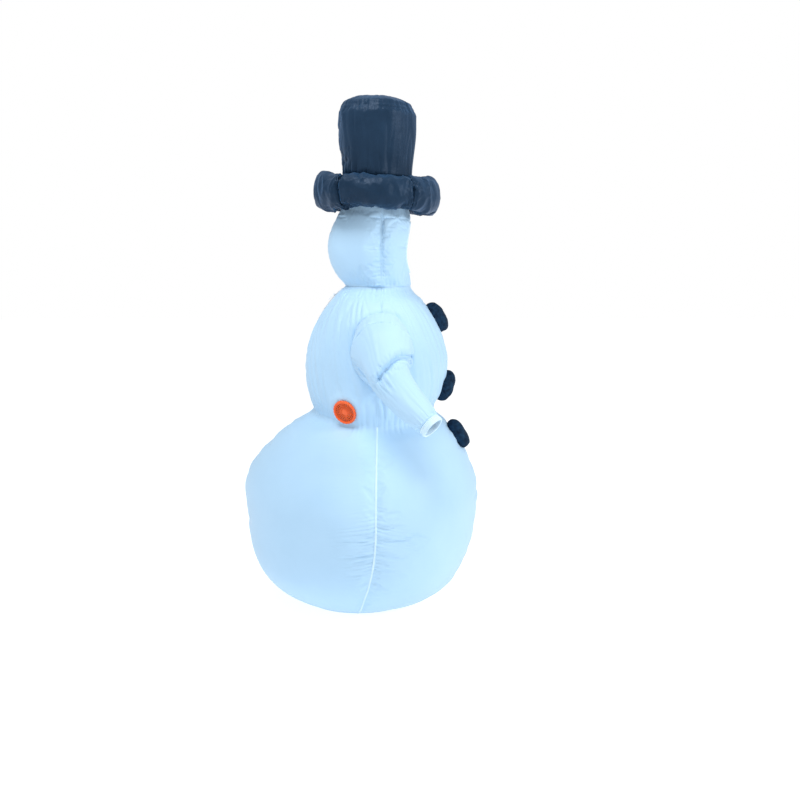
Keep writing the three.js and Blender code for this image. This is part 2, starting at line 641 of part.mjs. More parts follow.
function fanBody() {
  const tube = lathe(
    [
      [BORE, FAN.inside],
      [FAN.duct, FAN.inside],
      [FAN.duct, FAN.clamp],
      [FAN.rim, FAN.clamp],
      [FAN.rim, FAN.clamp + 2],
      [FAN.duct, FAN.clamp + 2],
      [FAN.duct, 3],
      [BORE, 3],
    ],
    24,
  );
  const cup = lathe(
    [
      [0, FAN.inside],
      [MOTOR.radius + 2, FAN.inside],
      [MOTOR.radius + 2, FAN.inside + 12],
      [MOTOR.radius + GAP, FAN.inside + 12],
      [MOTOR.radius + GAP, MOTOR_FOOT - GAP],
      [0, MOTOR_FOOT - GAP],
    ],
    20,
  );
  const struts = [0, 1, 2].map((i) => {
    const span = BORE - MOTOR.radius;
    return block(span, 3, 6, MOTOR.radius + 1 + span / 2, 0, FAN.inside + 3).rotateZ(rad(120 * i + 30));
  });
  return join(tube, cup, ...struts);
}

// A closed outline through points round a circle, at the distance that `reach` gives for each turn.
function roundOutline(points, reach) {
  const outline = new THREE.Shape();
  for (let i = 0; i < points; i++) {
    const turn = (2 * Math.PI * i) / points;
    outline[i ? "lineTo" : "moveTo"](reach(turn) * Math.cos(turn), reach(turn) * Math.sin(turn));
  }
  return outline;
}

function fanGrille() {
  const outline = roundOutline(3 * FAN.lobes, (turn) => FAN.rim + 0.9 * Math.cos(FAN.lobes * turn));
  outline.holes.push(roundOutline(24, () => FAN.duct + GAP));
  const rim = new THREE.ExtrudeGeometry(outline, { depth: 8, bevelEnabled: false });
  const face = roundOutline(24, () => FAN.duct + 2);
  for (let i = 0; i < 8; i++) {
    const middle = (i + 0.5) * (Math.PI / 4);
    const slot = new THREE.Path();
    slot.absarc(0, 0, FAN.duct - 3, middle - 0.33, middle + 0.33, false);
    slot.absarc(0, 0, 10, middle + 0.22, middle - 0.22, true);
    face.holes.push(slot);
  }
  const spokes = new THREE.ExtrudeGeometry(face, { depth: 2, bevelEnabled: false, curveSegments: 2 });
  return join(rim.translate(0, 0, 1.6), spokes.translate(0, 0, 4));
}

function impeller() {
  const hub = lathe(
    [
      [MOTOR.shaft + GAP, -IMPELLER.height],
      [IMPELLER.hub, -IMPELLER.height],
      [IMPELLER.hub, -2],
      [IMPELLER.hub - 2, 0],
      [MOTOR.shaft + GAP, 0],
    ],
    16,
  );
  const reach = IMPELLER.tip - IMPELLER.hub + 2;
  const blades = Array.from({ length: IMPELLER.blades }, (_, i) =>
    block(reach, 14, 1.4, 0, 0, 0)
      .rotateX(rad(IMPELLER.pitch))
      .translate(IMPELLER.hub - 2 + reach / 2, 0, -IMPELLER.height / 2)
      .rotateZ((2 * Math.PI * i) / IMPELLER.blades),
  );
  return join(hub, ...blades).translate(0, 0, 1);
}

const motorCan = lathe(
  [
    [0, MOTOR_FOOT],
    [MOTOR.radius, MOTOR_FOOT],
    [MOTOR.radius, MOTOR_HEAD],
    [MOTOR.shaft + GAP, MOTOR_HEAD],
    [MOTOR.shaft + GAP, MOTOR_FOOT + 4],
    [0, MOTOR_FOOT + 4],
  ],
  18,
);
const [shaftFoot, shaftHead] = [MOTOR_FOOT + 5, 1];
const shaft = new THREE.CylinderGeometry(MOTOR.shaft, MOTOR.shaft, shaftHead - shaftFoot, 10);
shaft.rotateX(Math.PI / 2).translate(0, 0, (shaftHead + shaftFoot) / 2);
const jackX = FAN.duct + 5.4;
const jack = cut(
  block(10, 9, 14, jackX, 0, FAN.inside + 8),
  new THREE.CylinderGeometry(2.8, 2.8, 20, 12).rotateX(Math.PI / 2).translate(jackX, 0, FAN.inside - 1),
);
add("fan_body", fanBody(), BLACK_PLASTIC, blower);
add("fan_grille_ring", fanGrille(), ORANGE_PLASTIC, blower);
add("fan_impeller", impeller(), ORANGE_PLASTIC, blower);
add("fan_motor", motorCan, STEEL, blower);
add("fan_shaft", shaft, STEEL, blower);
add("fan_power_socket", jack, BLACK_PLASTIC, blower);

// ---------------------------------------------------------------- the battery pack, in a pocket inside
// Local Z is up, local Y out of the costume and local X across the pack.
const pack = new THREE.Group();
const packOut = outwardAt(torsoSkin, PACK.z, PACK.angle).setZ(0).normalize();
pack.position.copy(torsoSkin(PACK.z, PACK.angle)).addScaledVector(packOut, -PACK.inset - PACK.depth / 2);
pack.quaternion.setFromRotationMatrix(
  new THREE.Matrix4().makeBasis(
    new THREE.Vector3().crossVectors(packOut, new THREE.Vector3(0, 0, 1)),
    packOut,
    new THREE.Vector3(0, 0, 1),
  ),
);
root.add(pack);

const half = { x: PACK.width / 2, y: PACK.depth / 2, z: PACK.height / 2 };

function batteryTray() {
  const hollow = block(PACK.width - 2 * PACK.wall, PACK.depth, PACK.height - 2 * PACK.wall, 0, -PACK.wall, 0);
  const switchSlot = block(10, 4.6, 8, half.x - 12, 0, half.z);
  const leadHole = rodX(2.2, 10, 0, half.z - 6).translate(half.x, 0, 0);
  return cut(block(PACK.width, PACK.depth, PACK.height, 0, 0, 0), hollow, switchSlot, leadHole);
}
function batteryLid() {
  const face = block(PACK.width + 4, PACK.lid, PACK.height, 0, -half.y - GAP - PACK.lid / 2, 0);
  const [lipX, lipY] = [half.x + 1 + GAP / 2, 2 - half.y - PACK.lid / 2];
  const lip = (side) => block(2 - GAP, 5, PACK.height, side * lipX, lipY, 0);
  return join(face, lip(-1), lip(1));
}
function batteryPocket() {
  const foot = -half.z - 2;
  const head = half.z - POCKET.above;
  const [front, back] = [-half.y - PACK.lid - POCKET.room, half.y + POCKET.reach];
  const width = PACK.width + 2 * POCKET.room;
  const middle = [0, (front + back) / 2, (foot + head) / 2];
  const outer = block(width + 2 * CLOTH, back - front, head - foot, ...middle);
  return cut(outer, block(width, back - front, head - foot, 0, middle[1] + CLOTH, middle[2] + CLOTH));
}

add("battery_box", batteryTray(), BLACK_PLASTIC, pack);
add("battery_lid", batteryLid(), BLACK_PLASTIC, pack);
add("power_switch", block(5, 4, 4, half.x - 14, 0, half.z + 0.4), STEEL, pack);
for (let i = 0; i < CELL.count; i++) {
  const cell = new THREE.CylinderGeometry(CELL.radius, CELL.radius, CELL.length, 12).rotateX(Math.PI / 2);
  const across = (i - (CELL.count - 1) / 2) * (2 * CELL.radius + 0.6);
  add(`battery_cell_${i + 1}`, cell.translate(across, -PACK.wall / 2, 0), CELL_SLEEVE, pack);
}
add("battery_pocket", batteryPocket(), WHITE_CLOTH, pack);

export default root;
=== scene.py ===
"""The looks of an inflatable snowman costume, blown up and standing by itself, in its CAD model's frame."""

import json
import math

import bpy
import numpy as np
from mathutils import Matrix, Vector
from mathutils.bvhtree import BVHTree
from mathutils.geometry import delaunay_2d_cdt


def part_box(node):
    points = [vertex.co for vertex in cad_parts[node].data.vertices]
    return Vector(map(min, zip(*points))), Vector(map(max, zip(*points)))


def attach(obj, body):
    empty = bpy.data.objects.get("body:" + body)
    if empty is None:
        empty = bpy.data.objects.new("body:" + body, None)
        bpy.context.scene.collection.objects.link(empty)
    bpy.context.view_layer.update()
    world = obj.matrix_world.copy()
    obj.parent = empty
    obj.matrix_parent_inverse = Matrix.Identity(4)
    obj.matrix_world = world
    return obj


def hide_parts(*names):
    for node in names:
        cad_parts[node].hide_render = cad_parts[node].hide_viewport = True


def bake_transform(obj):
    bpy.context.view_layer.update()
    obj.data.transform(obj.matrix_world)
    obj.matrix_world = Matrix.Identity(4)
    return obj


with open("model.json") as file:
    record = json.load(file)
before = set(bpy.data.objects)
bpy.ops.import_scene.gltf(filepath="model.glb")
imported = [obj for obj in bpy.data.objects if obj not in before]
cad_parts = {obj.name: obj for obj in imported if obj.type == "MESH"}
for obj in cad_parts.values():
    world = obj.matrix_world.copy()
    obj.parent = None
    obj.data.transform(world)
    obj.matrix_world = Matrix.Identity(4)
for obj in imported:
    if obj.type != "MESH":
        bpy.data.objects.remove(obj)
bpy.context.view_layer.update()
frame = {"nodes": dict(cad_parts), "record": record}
scene = bpy.context.scene
scene.view_settings.view_transform = "Standard"

# ---------------------------------------------------------------- the costume's shape, in metres
WAIST, NECK, HOOD_TOP = 0.684, 1.108, 1.376
DIP, DIP_SPAN = 0.030, 0.110
ZIP_Y, ZIP_Z, ZIP_R, ZIP_SLOT = -0.196, 0.815, 0.379, 0.005
ZIP_FOOT, ZIP_HEAD = 0.704, 1.090
HAT_Y, BRIM_SLOPE, CROWN_SLOPE = -0.065, 0.04, 0.02
BRIM_Z, BRIM_RING, BRIM_TUBE, BRIM_OPEN, BRIM_PARTS = 1.420, 0.160, 0.058, 139, 5
BRIM_PINCH, BRIM_SWELL = 0.06, 0.3
CROWN_FOOT, CROWN_HEAD, CROWN_RISE = 1.459, 1.704, 0.038
CROWN_FOOT_RADIUS, CROWN_HEAD_RADIUS = 0.116, 0.129
ARM_Y, ARM_Z = -0.086, 0.915
HOLE_Y, HOLE_Z, HOLE_HALF = -0.085, 0.907, 0.098
HOLE_UP, HOLE_DOWN, HOLE_NARROW = 0.121, 0.136, 0.3
ARM_PATH = (
    (-0.272, -0.086, 0.915),
    (-0.322, -0.091, 0.898),
    (-0.373, -0.112, 0.838),
    (-0.422, -0.168, 0.766),
    (-0.462, -0.232, 0.704),
)
SLEEVE_RADII = (0.105, 0.092, 0.070, 0.058, 0.052, 0.036)
WRIST_RADIUS = 0.036
FACE_Z, FACE_HALF_X, FACE_HALF_Z = 1.240, 0.074, 0.088
BASE_X, BASE_Y, LEG_X, LEG_Y, LEG_R = 0.221, 0.213, 0.098, 0.014, 0.080
BUTTON_R = 0.053
BUTTONS = {"top": 0.992, "middle": 0.762, "bottom": 0.578}
FAN_Z, FAN_ANGLE, FAN_RIM, FAN_DUCT = 0.722, -26, 0.041, 0.0345
PACK_Z, PACK_ANGLE = 0.775, -62

# height, rearmost y, foremost y and half the width at each level
BALL = (
    (0, 0.214, -0.214, 0.222),
    (0.022, 0.252, -0.278, 0.270),
    (0.062, 0.303, -0.325, 0.327),
    (0.125, 0.357, -0.360, 0.378),
    (0.210, 0.389, -0.393, 0.414),
    (0.320, 0.405, -0.410, 0.432),
    (0.410, 0.411, -0.413, 0.430),
    (0.485, 0.384, -0.393, 0.402),
    (0.555, 0.322, -0.352, 0.350),
    (0.625, 0.247, -0.308, 0.290),
    (WAIST, 0.160, -0.262, 0.236),
)
TORSO = (
    (WAIST, 0, -0.262, 0.236),
    (0.745, 0, -0.289, 0.253),
    (0.815, 0, -0.304, 0.264),
    (0.875, 0, -0.305, 0.268),
    (0.940, 0, -0.288, 0.262),
    (1.000, 0, -0.260, 0.240),
    (1.050, 0, -0.222, 0.200),
    (NECK, 0, -0.180, 0.118),
)
HOOD = (
    (NECK, 0.0444, -0.180, 0.118),
    (1.140, 0.068, -0.176, 0.128),
    (1.185, 0.096, -0.176, 0.140),
    (1.235, 0.106, -0.180, 0.147),
    (1.290, 0.096, -0.185, 0.144),
    (1.340, 0.072, -0.184, 0.130),
    (HOOD_TOP, 0.051, -0.181, 0.116),
)


def smooth(x):
    x = np.clip(x, 0.0, 1.0)
    return x * x * (3 - 2 * x)


def spline(levels):
    """A smooth curve through the levels, with the same tangents as the CAD model's."""
    t = [float(level[0]) for level in levels]
    p = [np.array(level[1:], float) for level in levels]

    def at(z):
        z = min(max(z, t[0]), t[-1])
        i = max(1, next((k for k, value in enumerate(t) if value >= z), len(t) - 1))
        t0, t1, last = t[i - 1], t[i], i == len(t) - 1
        before, t_before = (p[i - 2], t[i - 2]) if i > 1 else (p[i], 2 * t0 - t1)
        after, t_after = (p[i - 1], 2 * t1 - t0) if last else (p[i + 1], t[i + 1])
        half = (t1 - t0) / 2
        wp, wn = half / (t0 - t_before), half / (t_after - t1)
        q = (z - t0) / (t1 - t0)
        return (
            (-wp * q**3 + 2 * wp * q**2 - wp * q) * before
            + ((1 + wp) * q**3 + (-1.5 - 2 * wp) * q**2 + (wp - 0.5) * q + 1) * p[i - 1]
            + ((-1 - wn) * q**3 + (1.5 + wn) * q**2 + 0.5 * q) * p[i]
            + (wn * q**3 - wn * q**2) * after
        )

    return at


def smooth_path(points, share):
    """A point of a smooth curve through evenly counted points, for a share of the way from 0 to 1."""
    knots = spline([(i, *np.atleast_1d(point)) for i, point in enumerate(points)])
    return knots(share * (len(points) - 1))


ball_at, torso_at, hood_at = spline(BALL), spline(TORSO), spline(HOOD)


def seam_y(z):
    return -0.068 - 0.016 * smooth((z - 0.85) / 0.26) + 0.068 * max(0, 1 - z / 0.36) ** 2


def zip_y(z, above=0.0):
    return ZIP_Y + math.sqrt((ZIP_R + above) ** 2 - (z - ZIP_Z) ** 2)


def body_outline(z):
    if z < WAIST:
        return ball_at(z)
    _, front, half = torso_at(z)
    return zip_y(z), front, half


def ring(outline, z, degrees):
    """Points of the skin at one level. The angle is 0 at the right-hand seam and 90 at the front."""
    back, front, half = outline(z)
    turn, seam = np.radians(degrees), seam_y(z)
    y = seam + np.where(np.sin(turn) < 0, seam - back, front - seam) * np.sin(turn)
    dip = DIP * np.cos(turn) ** 2 * math.exp(-(((z - WAIST) / DIP_SPAN) ** 2))
    return np.stack([-half * np.cos(turn), y, z - dip], -1)


def skin_normal(z, degrees):
    across = ring(body_outline, z, degrees + 0.1) - ring(body_outline, z, degrees - 0.1)
    up = ring(body_outline, z + 0.001, degrees) - ring(body_outline, z - 0.001, degrees)
    normal = np.cross(across, up)
    return normal / np.linalg.norm(normal)


def hood_ring(z, degrees):
    points = ring(hood_at, z, degrees)
    points[..., 2] += BRIM_SLOPE * (points[..., 1] - HAT_Y) * smooth((z - 1.25) / (HOOD_TOP - 1.25))
    return points


def hat_point(radius, degrees, height):
    """A point of the hat: distance from its axis, angle round it from the right to the front, and height."""
    turn = np.radians(degrees)
    y = HAT_Y - radius * np.sin(turn)
    share = np.clip((height - CROWN_FOOT) / (CROWN_HEAD - CROWN_FOOT), 0, 1)
    slope = BRIM_SLOPE + (CROWN_SLOPE - BRIM_SLOPE) * share
    return np.stack([-radius * np.cos(turn), y, height + slope * (y - HAT_Y)], -1)


def even_levels(outline, low, high, count, focus=0.0):
    """Levels spaced evenly along the skin, and not along its height, with more of them near one height."""
    z = np.linspace(low, high, 600)
    half = np.array([outline(value)[2] for value in z])
    density = 1 + np.exp(-(((z[1:] - focus) / 0.17) ** 2)) if focus else 1
    run = np.concatenate([[0], np.cumsum(np.hypot(np.diff(half), np.diff(z)) * density)])
    return np.interp(np.linspace(0, run[-1], count), run, z)


def hole_share(points):
    """How far points are from the middle of the armhole in the side view, where 1 is its edge."""
    up = (points[..., 2] - HOLE_Z) / np.where(points[..., 2] < HOLE_Z, HOLE_DOWN, HOLE_UP)
    reach = HOLE_HALF * np.where(up < 0, 1 - HOLE_NARROW * np.minimum(up * up, 1), 1)
    return np.hypot((points[..., 1] - HOLE_Y) / reach, up)


# ---------------------------------------------------------------- mesh helpers
def link(mesh, name):
    made = bpy.data.objects.new(name, mesh)
    scene.collection.objects.link(made)
    return made


def quads_of(rows, columns, closed=False):
    """The corners of a grid's quads, by row and column."""
    ids = np.arange(rows * columns).reshape(rows, columns)
    right = np.roll(ids, -1, 1) if closed else ids[:, 1:]
    left = ids if closed else ids[:, :-1]
    return np.stack([left[:-1], right[:-1], right[1:], left[1:]], -1)


def mesh_from(name, points, faces):
    used = np.unique(faces)
    renumber = np.zeros(len(points), int)
    renumber[used] = np.arange(len(used))
    mesh = bpy.data.meshes.new(name)
    mesh.from_pydata(points[used].tolist(), [], renumber[faces].tolist())
    mesh.polygons.foreach_set("use_smooth", [True] * len(mesh.polygons))
    mesh.update()
    return mesh


def grid_mesh(name, points, closed=False, keep=None):
    """A quad mesh over points[row, column]; a closed one joins its last column to its first."""
    quads = quads_of(*points.shape[:2], closed)
    quads = quads[keep] if keep is not None else quads.reshape(-1, 4)
    return mesh_from(name, points.reshape(-1, 3), quads)


def joined_mesh(name, grids):
    """One mesh from several grids, each given as (points, closed)."""
    points, faces, count = [], [], 0
    for grid, closed in grids:
        points.append(grid.reshape(-1, 3))
        faces.append(quads_of(*grid.shape[:2], closed).reshape(-1, 4) + count)
        count += len(points[-1])
    return mesh_from(name, np.concatenate(points), np.concatenate(faces))


def finish_piece(piece, body, material, nodes=()):
    """Gives a piece its material, attaches it to its body when the body is given by name (otherwise it only
    bakes the piece's transform), and hides the CAD nodes that it stands for.
    """
    piece.data.materials.clear()
    piece.data.materials.append(material)
    if isinstance(body, str):
        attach(piece, body)
    else:
        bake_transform(piece)
    if nodes:
        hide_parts(*nodes)
    return piece


def refine(points, closed=True):
    """A grid with twice as many points each way, on smooth curves through the old ones."""
    for axis in (0, 1):
        grid = np.moveaxis(points, axis, 0)
        if closed and axis:
            ends = np.concatenate([grid[-1:], grid, grid[:2]])
        else:
            ends = np.concatenate([2 * grid[:1] - grid[1:2], grid, 2 * grid[-1:] - grid[-2:-1]])
        middles = (9 * (ends[1:-2] + ends[2:-1]) - ends[:-3] - ends[3:]) / 16
        fine = np.empty((len(grid) + len(middles), *grid.shape[1:]))
        fine[0::2], fine[1::2] = grid, middles
        points = np.moveaxis(fine, 0, axis)
    return points


def blur(field, rows, columns, closed=True):
    """A soft running mean over a grid, which closes on itself across its columns if the cloth does."""
    for axis, reach in ((0, rows), (1, columns)):
        if reach <= 0:
            continue
        span = math.ceil(3 * reach)
        pad = [(0, 0)] * field.ndim
        pad[axis] = (span, span)
        wide = np.pad(field, pad, mode="wrap" if closed and axis == 1 else "edge")
        weights = np.exp(-0.5 * (np.arange(-span, span + 1) / reach) ** 2)
        weights /= weights.sum()
        size = field.shape[axis]
        field = sum(w * np.take(wide, range(k, k + size), axis) for k, w in enumerate(weights))
    return field


def normals_of(points, closed=True):
    """The outward normal at each point of a grid."""
    if closed:
        across = np.roll(points, -1, 1) - np.roll(points, 1, 1)
    else:
        across = np.gradient(points, axis=1)
    normal = np.cross(across, np.gradient(points, axis=0))
    return normal / np.maximum(np.linalg.norm(normal, axis=-1, keepdims=True), 1e-12)


def raised(points, heights, closed=True):
    return points + normals_of(points, closed) * np.broadcast_to(heights, points.shape[:2])[..., None]


def set_weights(piece, name, weights):
    group = piece.vertex_groups.new(name=name)
    steps = np.round(weights.ravel() * 20).astype(int)
    for step in np.unique(steps[steps > 0]):
        group.add(np.nonzero(steps == step)[0].tolist(), step / 20, "REPLACE")
    return name


def inflate(points, pinned, gathered, closed=True, frames=20, pressure=3.0, slack=0.012, shrink=0.08):
    """Blows up a sheet of cloth whose seams are gathered, and returns its points. Pinned points stay put."""
    work = link(grid_mesh("cloth_work", points, closed), "cloth_work")
    cloth = work.modifiers.new("cloth", "CLOTH")
    s = cloth.settings
    s.quality, s.mass = 4, 0.02
    s.tension_stiffness = s.compression_stiffness = 30
    s.shear_stiffness, s.bending_stiffness = 8, 0.02
    s.tension_damping = s.compression_damping = 5
    s.shear_damping, s.bending_damping, s.air_damping = 3, 0.3, 2
    s.use_pressure, s.uniform_pressure_force = True, pressure
    s.vertex_group_mass = set_weights(work, "pinned", pinned)
    s.vertex_group_shrink = set_weights(work, "gathered", gathered)
    s.shrink_min, s.shrink_max = -slack, shrink
    s.effector_weights.gravity = 0
    cloth.collision_settings.use_collision = False
    cloth.point_cache.frame_start, cloth.point_cache.frame_end = 1, frames
    for step in range(1, frames + 1):
        scene.frame_set(step)
    shown = work.evaluated_get(bpy.context.evaluated_depsgraph_get())
    moved = np.empty(points.size)
    shown.data.vertices.foreach_get("co", moved)
    bpy.data.objects.remove(work, do_unlink=True)
    scene.frame_set(1)
    return moved.reshape(points.shape)


def keep_shape(points, moved, rows, columns, share=0.3, quiet=()):
    """Keeps the fine folds of the blown-up cloth, and only a share of its change of overall shape.

    Near each quiet row the change fades out, so that the cloth doesn't swell over a seam."""
    change = moved - points
    number = np.arange(len(points))
    for row in quiet:
        change *= smooth(np.abs(number - row) / (1.5 * rows))[:, None, None]
    return points + change - (1 - share) * blur(change, rows, columns)


def noise_field(rows, columns, down, across, seed, closed=True):
    """Smooth random numbers over a grid, about 1 high, whose lumps are `down` rows by `across` columns."""
    field = np.random.default_rng(seed).standard_normal((rows, columns))
    field = blur(field[..., None], down, across, closed)[..., 0]
    return field / (field.std() + 1e-12)


def puckers(along, away, pitch, reach, seed, slope=0.0):
    """Folds that fan out from a gathered seam, rounded between sharp valleys and about 1 high.

    `along` and `away` are metres along the seam and away from it. A slope makes the folds fall."""
    random = np.random.default_rng(seed)
    along = along + slope * away
    low, high = along.min(), along.max()
    count = int((high - low) / pitch * 1.3) + 6
    places = low - pitch + np.cumsum(random.uniform(0.6, 1.4, count)) * pitch
    numbers = np.arange(count)
    phase = np.interp(along, places, numbers)
    size = np.interp(phase, numbers, random.uniform(0.35, 1.0, count))
    run = np.interp(phase, numbers, reach * random.uniform(0.4, 1.0, count))
    return size * (np.abs(np.sin(np.pi * phase)) - 0.6) * np.exp(-((away / run) ** 2))


def column_distance(points, column):
    """How far each point of a closed grid is from one of its columns, in metres."""
    count = points.shape[1]
    width = np.linalg.norm(np.roll(points, -1, 1) - points, axis=-1).mean(1)
    steps = (np.arange(count) - column + count // 2) % count - count // 2
    return np.abs(steps)[None, :] * width[:, None]


def column_run(points, column):
    """The length of cloth from the grid's first row, along one column, as a column of numbers."""
    steps = np.linalg.norm(np.diff(points[:, column], axis=0), axis=-1)
    return np.concatenate([[0], np.cumsum(steps)])[:, None]


def surface_tree(points, closed=True):
    quads = quads_of(*points.shape[:2], closed).reshape(-1, 4)
    return BVHTree.FromPolygons(points.reshape(-1, 3).tolist(), quads.tolist())


# ---------------------------------------------------------------- materials
def material(name, colour, roughness, metallic=0.0, **sockets):
    made = bpy.data.materials.new(name)
    made.use_nodes = True
    shader = made.node_tree.nodes["Principled BSDF"]
    shader.inputs["Base Color"].default_value = (*colour, 1)
    shader.inputs["Roughness"].default_value = roughness
    shader.inputs["Metallic"].default_value = metallic
    for socket, value in sockets.items():
        shader.inputs[socket.replace("_", " ")].default_value = value
    return made


def node(tree, kind, **inputs):
    made = tree.nodes.new(kind)
    for socket, value in inputs.items():
        made.inputs[socket.replace("_", " ")].default_value = value
    return made


def add_texture(made, low, high, spread, scale, bumps, rough=(0.4, 0.6), stretch=(1, 1, 1)):
    """Mottled colour, uneven gloss, and bumps: a list of (noise scale, strength, distance)."""
    tree = made.node_tree
    shader = tree.nodes["Principled BSDF"]
    place = tree.nodes.new("ShaderNodeTexCoord")
    mapping = node(tree, "ShaderNodeMapping", Scale=stretch)
    tree.links.new(place.outputs["Object"], mapping.inputs["Vector"])
    mottle = node(tree, "ShaderNodeTexNoise", Scale=scale, Detail=6.0, Roughness=0.6)
    tree.links.new(mapping.outputs["Vector"], mottle.inputs["Vector"])
    ramp = tree.nodes.new("ShaderNodeValToRGB")
    ramp.color_ramp.elements[0].position = 0.5 - spread
    ramp.color_ramp.elements[1].position = 0.5 + spread
    ramp.color_ramp.elements[0].color = (*low, 1)
    ramp.color_ramp.elements[1].color = (*high, 1)
    tree.links.new(mottle.outputs["Fac"], ramp.inputs["Fac"])
    tree.links.new(ramp.outputs["Color"], shader.inputs["Base Color"])
    gloss = node(tree, "ShaderNodeMapRange", From_Min=0.3, From_Max=0.7, To_Min=rough[0], To_Max=rough[1])
    tree.links.new(mottle.outputs["Fac"], gloss.inputs["Value"])
    tree.links.new(gloss.outputs["Result"], shader.inputs["Roughness"])
    normal = None
    for noise_scale, strength, distance in bumps:
        grain = node(tree, "ShaderNodeTexNoise", Scale=noise_scale, Detail=3.0)
        tree.links.new(mapping.outputs["Vector"], grain.inputs["Vector"])
        bump = node(tree, "ShaderNodeBump", Strength=strength, Distance=distance)
        tree.links.new(grain.outputs["Fac"], bump.inputs["Height"])
        if normal:
            tree.links.new(normal, bump.inputs["Normal"])
        normal = bump.outputs["Normal"]
    tree.links.new(normal, shader.inputs["Normal"])
    return made


def add_weave(made, pitch, strength, distance):
    """Fine crossed threads on top of the bumps, about `pitch` metres apart."""
    tree = made.node_tree
    shader = tree.nodes["Principled BSDF"]
    place = tree.nodes.new("ShaderNodeTexCoord")
    before = shader.inputs["Normal"].links[0].from_socket
    heights = []
    for direction in ("Z", "DIAGONAL"):
        threads = node(tree, "ShaderNodeTexWave", Scale=0.05 / pitch, Distortion=0.6, Detail=1.0)
        threads.bands_direction = direction
        tree.links.new(place.outputs["Object"], threads.inputs["Vector"])
        heights.append(threads.outputs["Fac"])
    both = tree.nodes.new("ShaderNodeMath")
    both.operation = "MAXIMUM"
    tree.links.new(heights[0], both.inputs[0])
    tree.links.new(heights[1], both.inputs[1])
    bump = node(tree, "ShaderNodeBump", Strength=strength, Distance=distance)
    tree.links.new(both.outputs["Value"], bump.inputs["Height"])
    tree.links.new(before, bump.inputs["Normal"])
    tree.links.new(bump.outputs["Normal"], shader.inputs["Normal"])
    return made


THREAD_PITCH, THREAD_DEPTH = 0.0012, 0.0003


def white_cloth():
    made = material("white_cloth", (0.43, 0.655, 0.87), 0.55, Sheen_Weight=0.1, Specular_IOR_Level=0.2)
    bumps = [(38, 0.08, 0.004), (260, 0.1, 0.001)]
    add_texture(made, (0.42, 0.635, 0.84), (0.47, 0.685, 0.89), 0.2, 3.0, bumps)
    return add_weave(made, THREAD_PITCH, 0.12, THREAD_DEPTH)


def black_cloth():
    made = material("black_cloth", (0.008, 0.024, 0.050), 0.45, Specular_IOR_Level=0.2, Sheen_Weight=0.3)
    shader = made.node_tree.nodes["Principled BSDF"]
    shader.inputs["Sheen Tint"].default_value = (0.12, 0.33, 0.7, 1)
    shader.inputs["Specular Tint"].default_value = (0.55, 0.72, 1.0, 1)
    bumps = [(45, 0.3, 0.004), (160, 0.2, 0.0015)]
    add_texture(made, (0.006, 0.018, 0.038), (0.013, 0.033, 0.066), 0.25, 6.0, bumps, (0.36, 0.52))
    return add_weave(made, THREAD_PITCH, 0.2, THREAD_DEPTH)


def button_cloth():
    made = material("button_cloth", (0.006, 0.020, 0.045), 0.9, Specular_IOR_Level=0.06)
    bumps = [(60, 0.35, 0.004), (420, 0.5, 0.0012)]
    return add_texture(made, (0.003, 0.010, 0.026), (0.014, 0.044, 0.090), 0.2, 70.0, bumps, (0.6, 0.85))


def elastic():
    made = material("white_elastic", (0.62, 0.80, 0.94), 0.8, Sheen_Weight=0.1)
    bumps = [(180, 0.3, 0.0012), (900, 0.2, 0.0004)]
    return add_texture(made, (0.56, 0.75, 0.90), (0.66, 0.84, 0.96), 0.2, 20.0, bumps, (0.7, 0.9))


def plastic(name, low, high, rough):
    made = material(name, high, rough[0], Specular_IOR_Level=0.5)
    return add_texture(made, low, high, 0.25, 25.0, [(600, 0.06, 0.0004)], rough)


WHITE = white_cloth()
BLACK = black_cloth()
BUTTON = button_cloth()
ELASTIC = elastic()
ORANGE = plastic("orange_plastic", (0.86, 0.10, 0.012), (1.0, 0.15, 0.022), (0.3, 0.42))
DARK = plastic("black_plastic", (0.010, 0.010, 0.011), (0.022, 0.022, 0.024), (0.35, 0.5))
GREY = plastic("switch_plastic", (0.32, 0.32, 0.34), (0.42, 0.42, 0.44), (0.4, 0.5))
NYLON = plastic("zip_plastic", (0.74, 0.80, 0.86), (0.84, 0.89, 0.94), (0.3, 0.42))
SLEEVE = plastic("cell_sleeve", (0.02, 0.10, 0.05), (0.04, 0.16, 0.08), (0.25, 0.35))
TAPE = add_texture(
    material("zip_tape", (0.72, 0.82, 0.90), 0.8), (0.66, 0.77, 0.86), (0.76, 0.85, 0.92), 0.2, 40.0,
    [(500, 0.4, 0.0006)], (0.7, 0.9),
)
STEEL = add_texture(
    material("motor_steel", (0.55, 0.56, 0.58), 0.3, 1.0), (0.48, 0.49, 0.51), (0.6, 0.61, 0.63), 0.2, 60.0,
    [(700, 0.08, 0.0003)], (0.25, 0.4),
)
WADDING = add_texture(
    material("wadding", (0.8, 0.8, 0.78), 0.95, Sheen_Weight=0.4), (0.72, 0.72, 0.70), (0.86, 0.86, 0.84),
    0.3, 60.0, [(220, 0.8, 0.004)], (0.9, 1.0),
)

# ---------------------------------------------------------------- the body: lower ball and torso
COLUMNS, BALL_ROWS, TORSO_ROWS = 576, 117, 52
QUARTER = COLUMNS // 4
QUARTERS = {"right_back": 3, "right_front": 0, "left_front": 1, "left_back": 2}
RIGHT, FRONT, LEFT, BACK = 0, QUARTER, 2 * QUARTER, 3 * QUARTER
WAIST_ROW = 2 * (BALL_ROWS - 1)

fan_seat = ring(body_outline, FAN_Z, FAN_ANGLE)
fan_out = skin_normal(FAN_Z, FAN_ANGLE)


def coarse_body():
    degrees = np.arange(COLUMNS // 2) * 720 / COLUMNS
    low = even_levels(body_outline, 0, WAIST, BALL_ROWS, 0.32)[:-1]
    levels = np.array([*low, *even_levels(body_outline, WAIST, NECK, TORSO_ROWS)])
    return levels, np.stack([ring(body_outline, z, degrees) for z in levels])


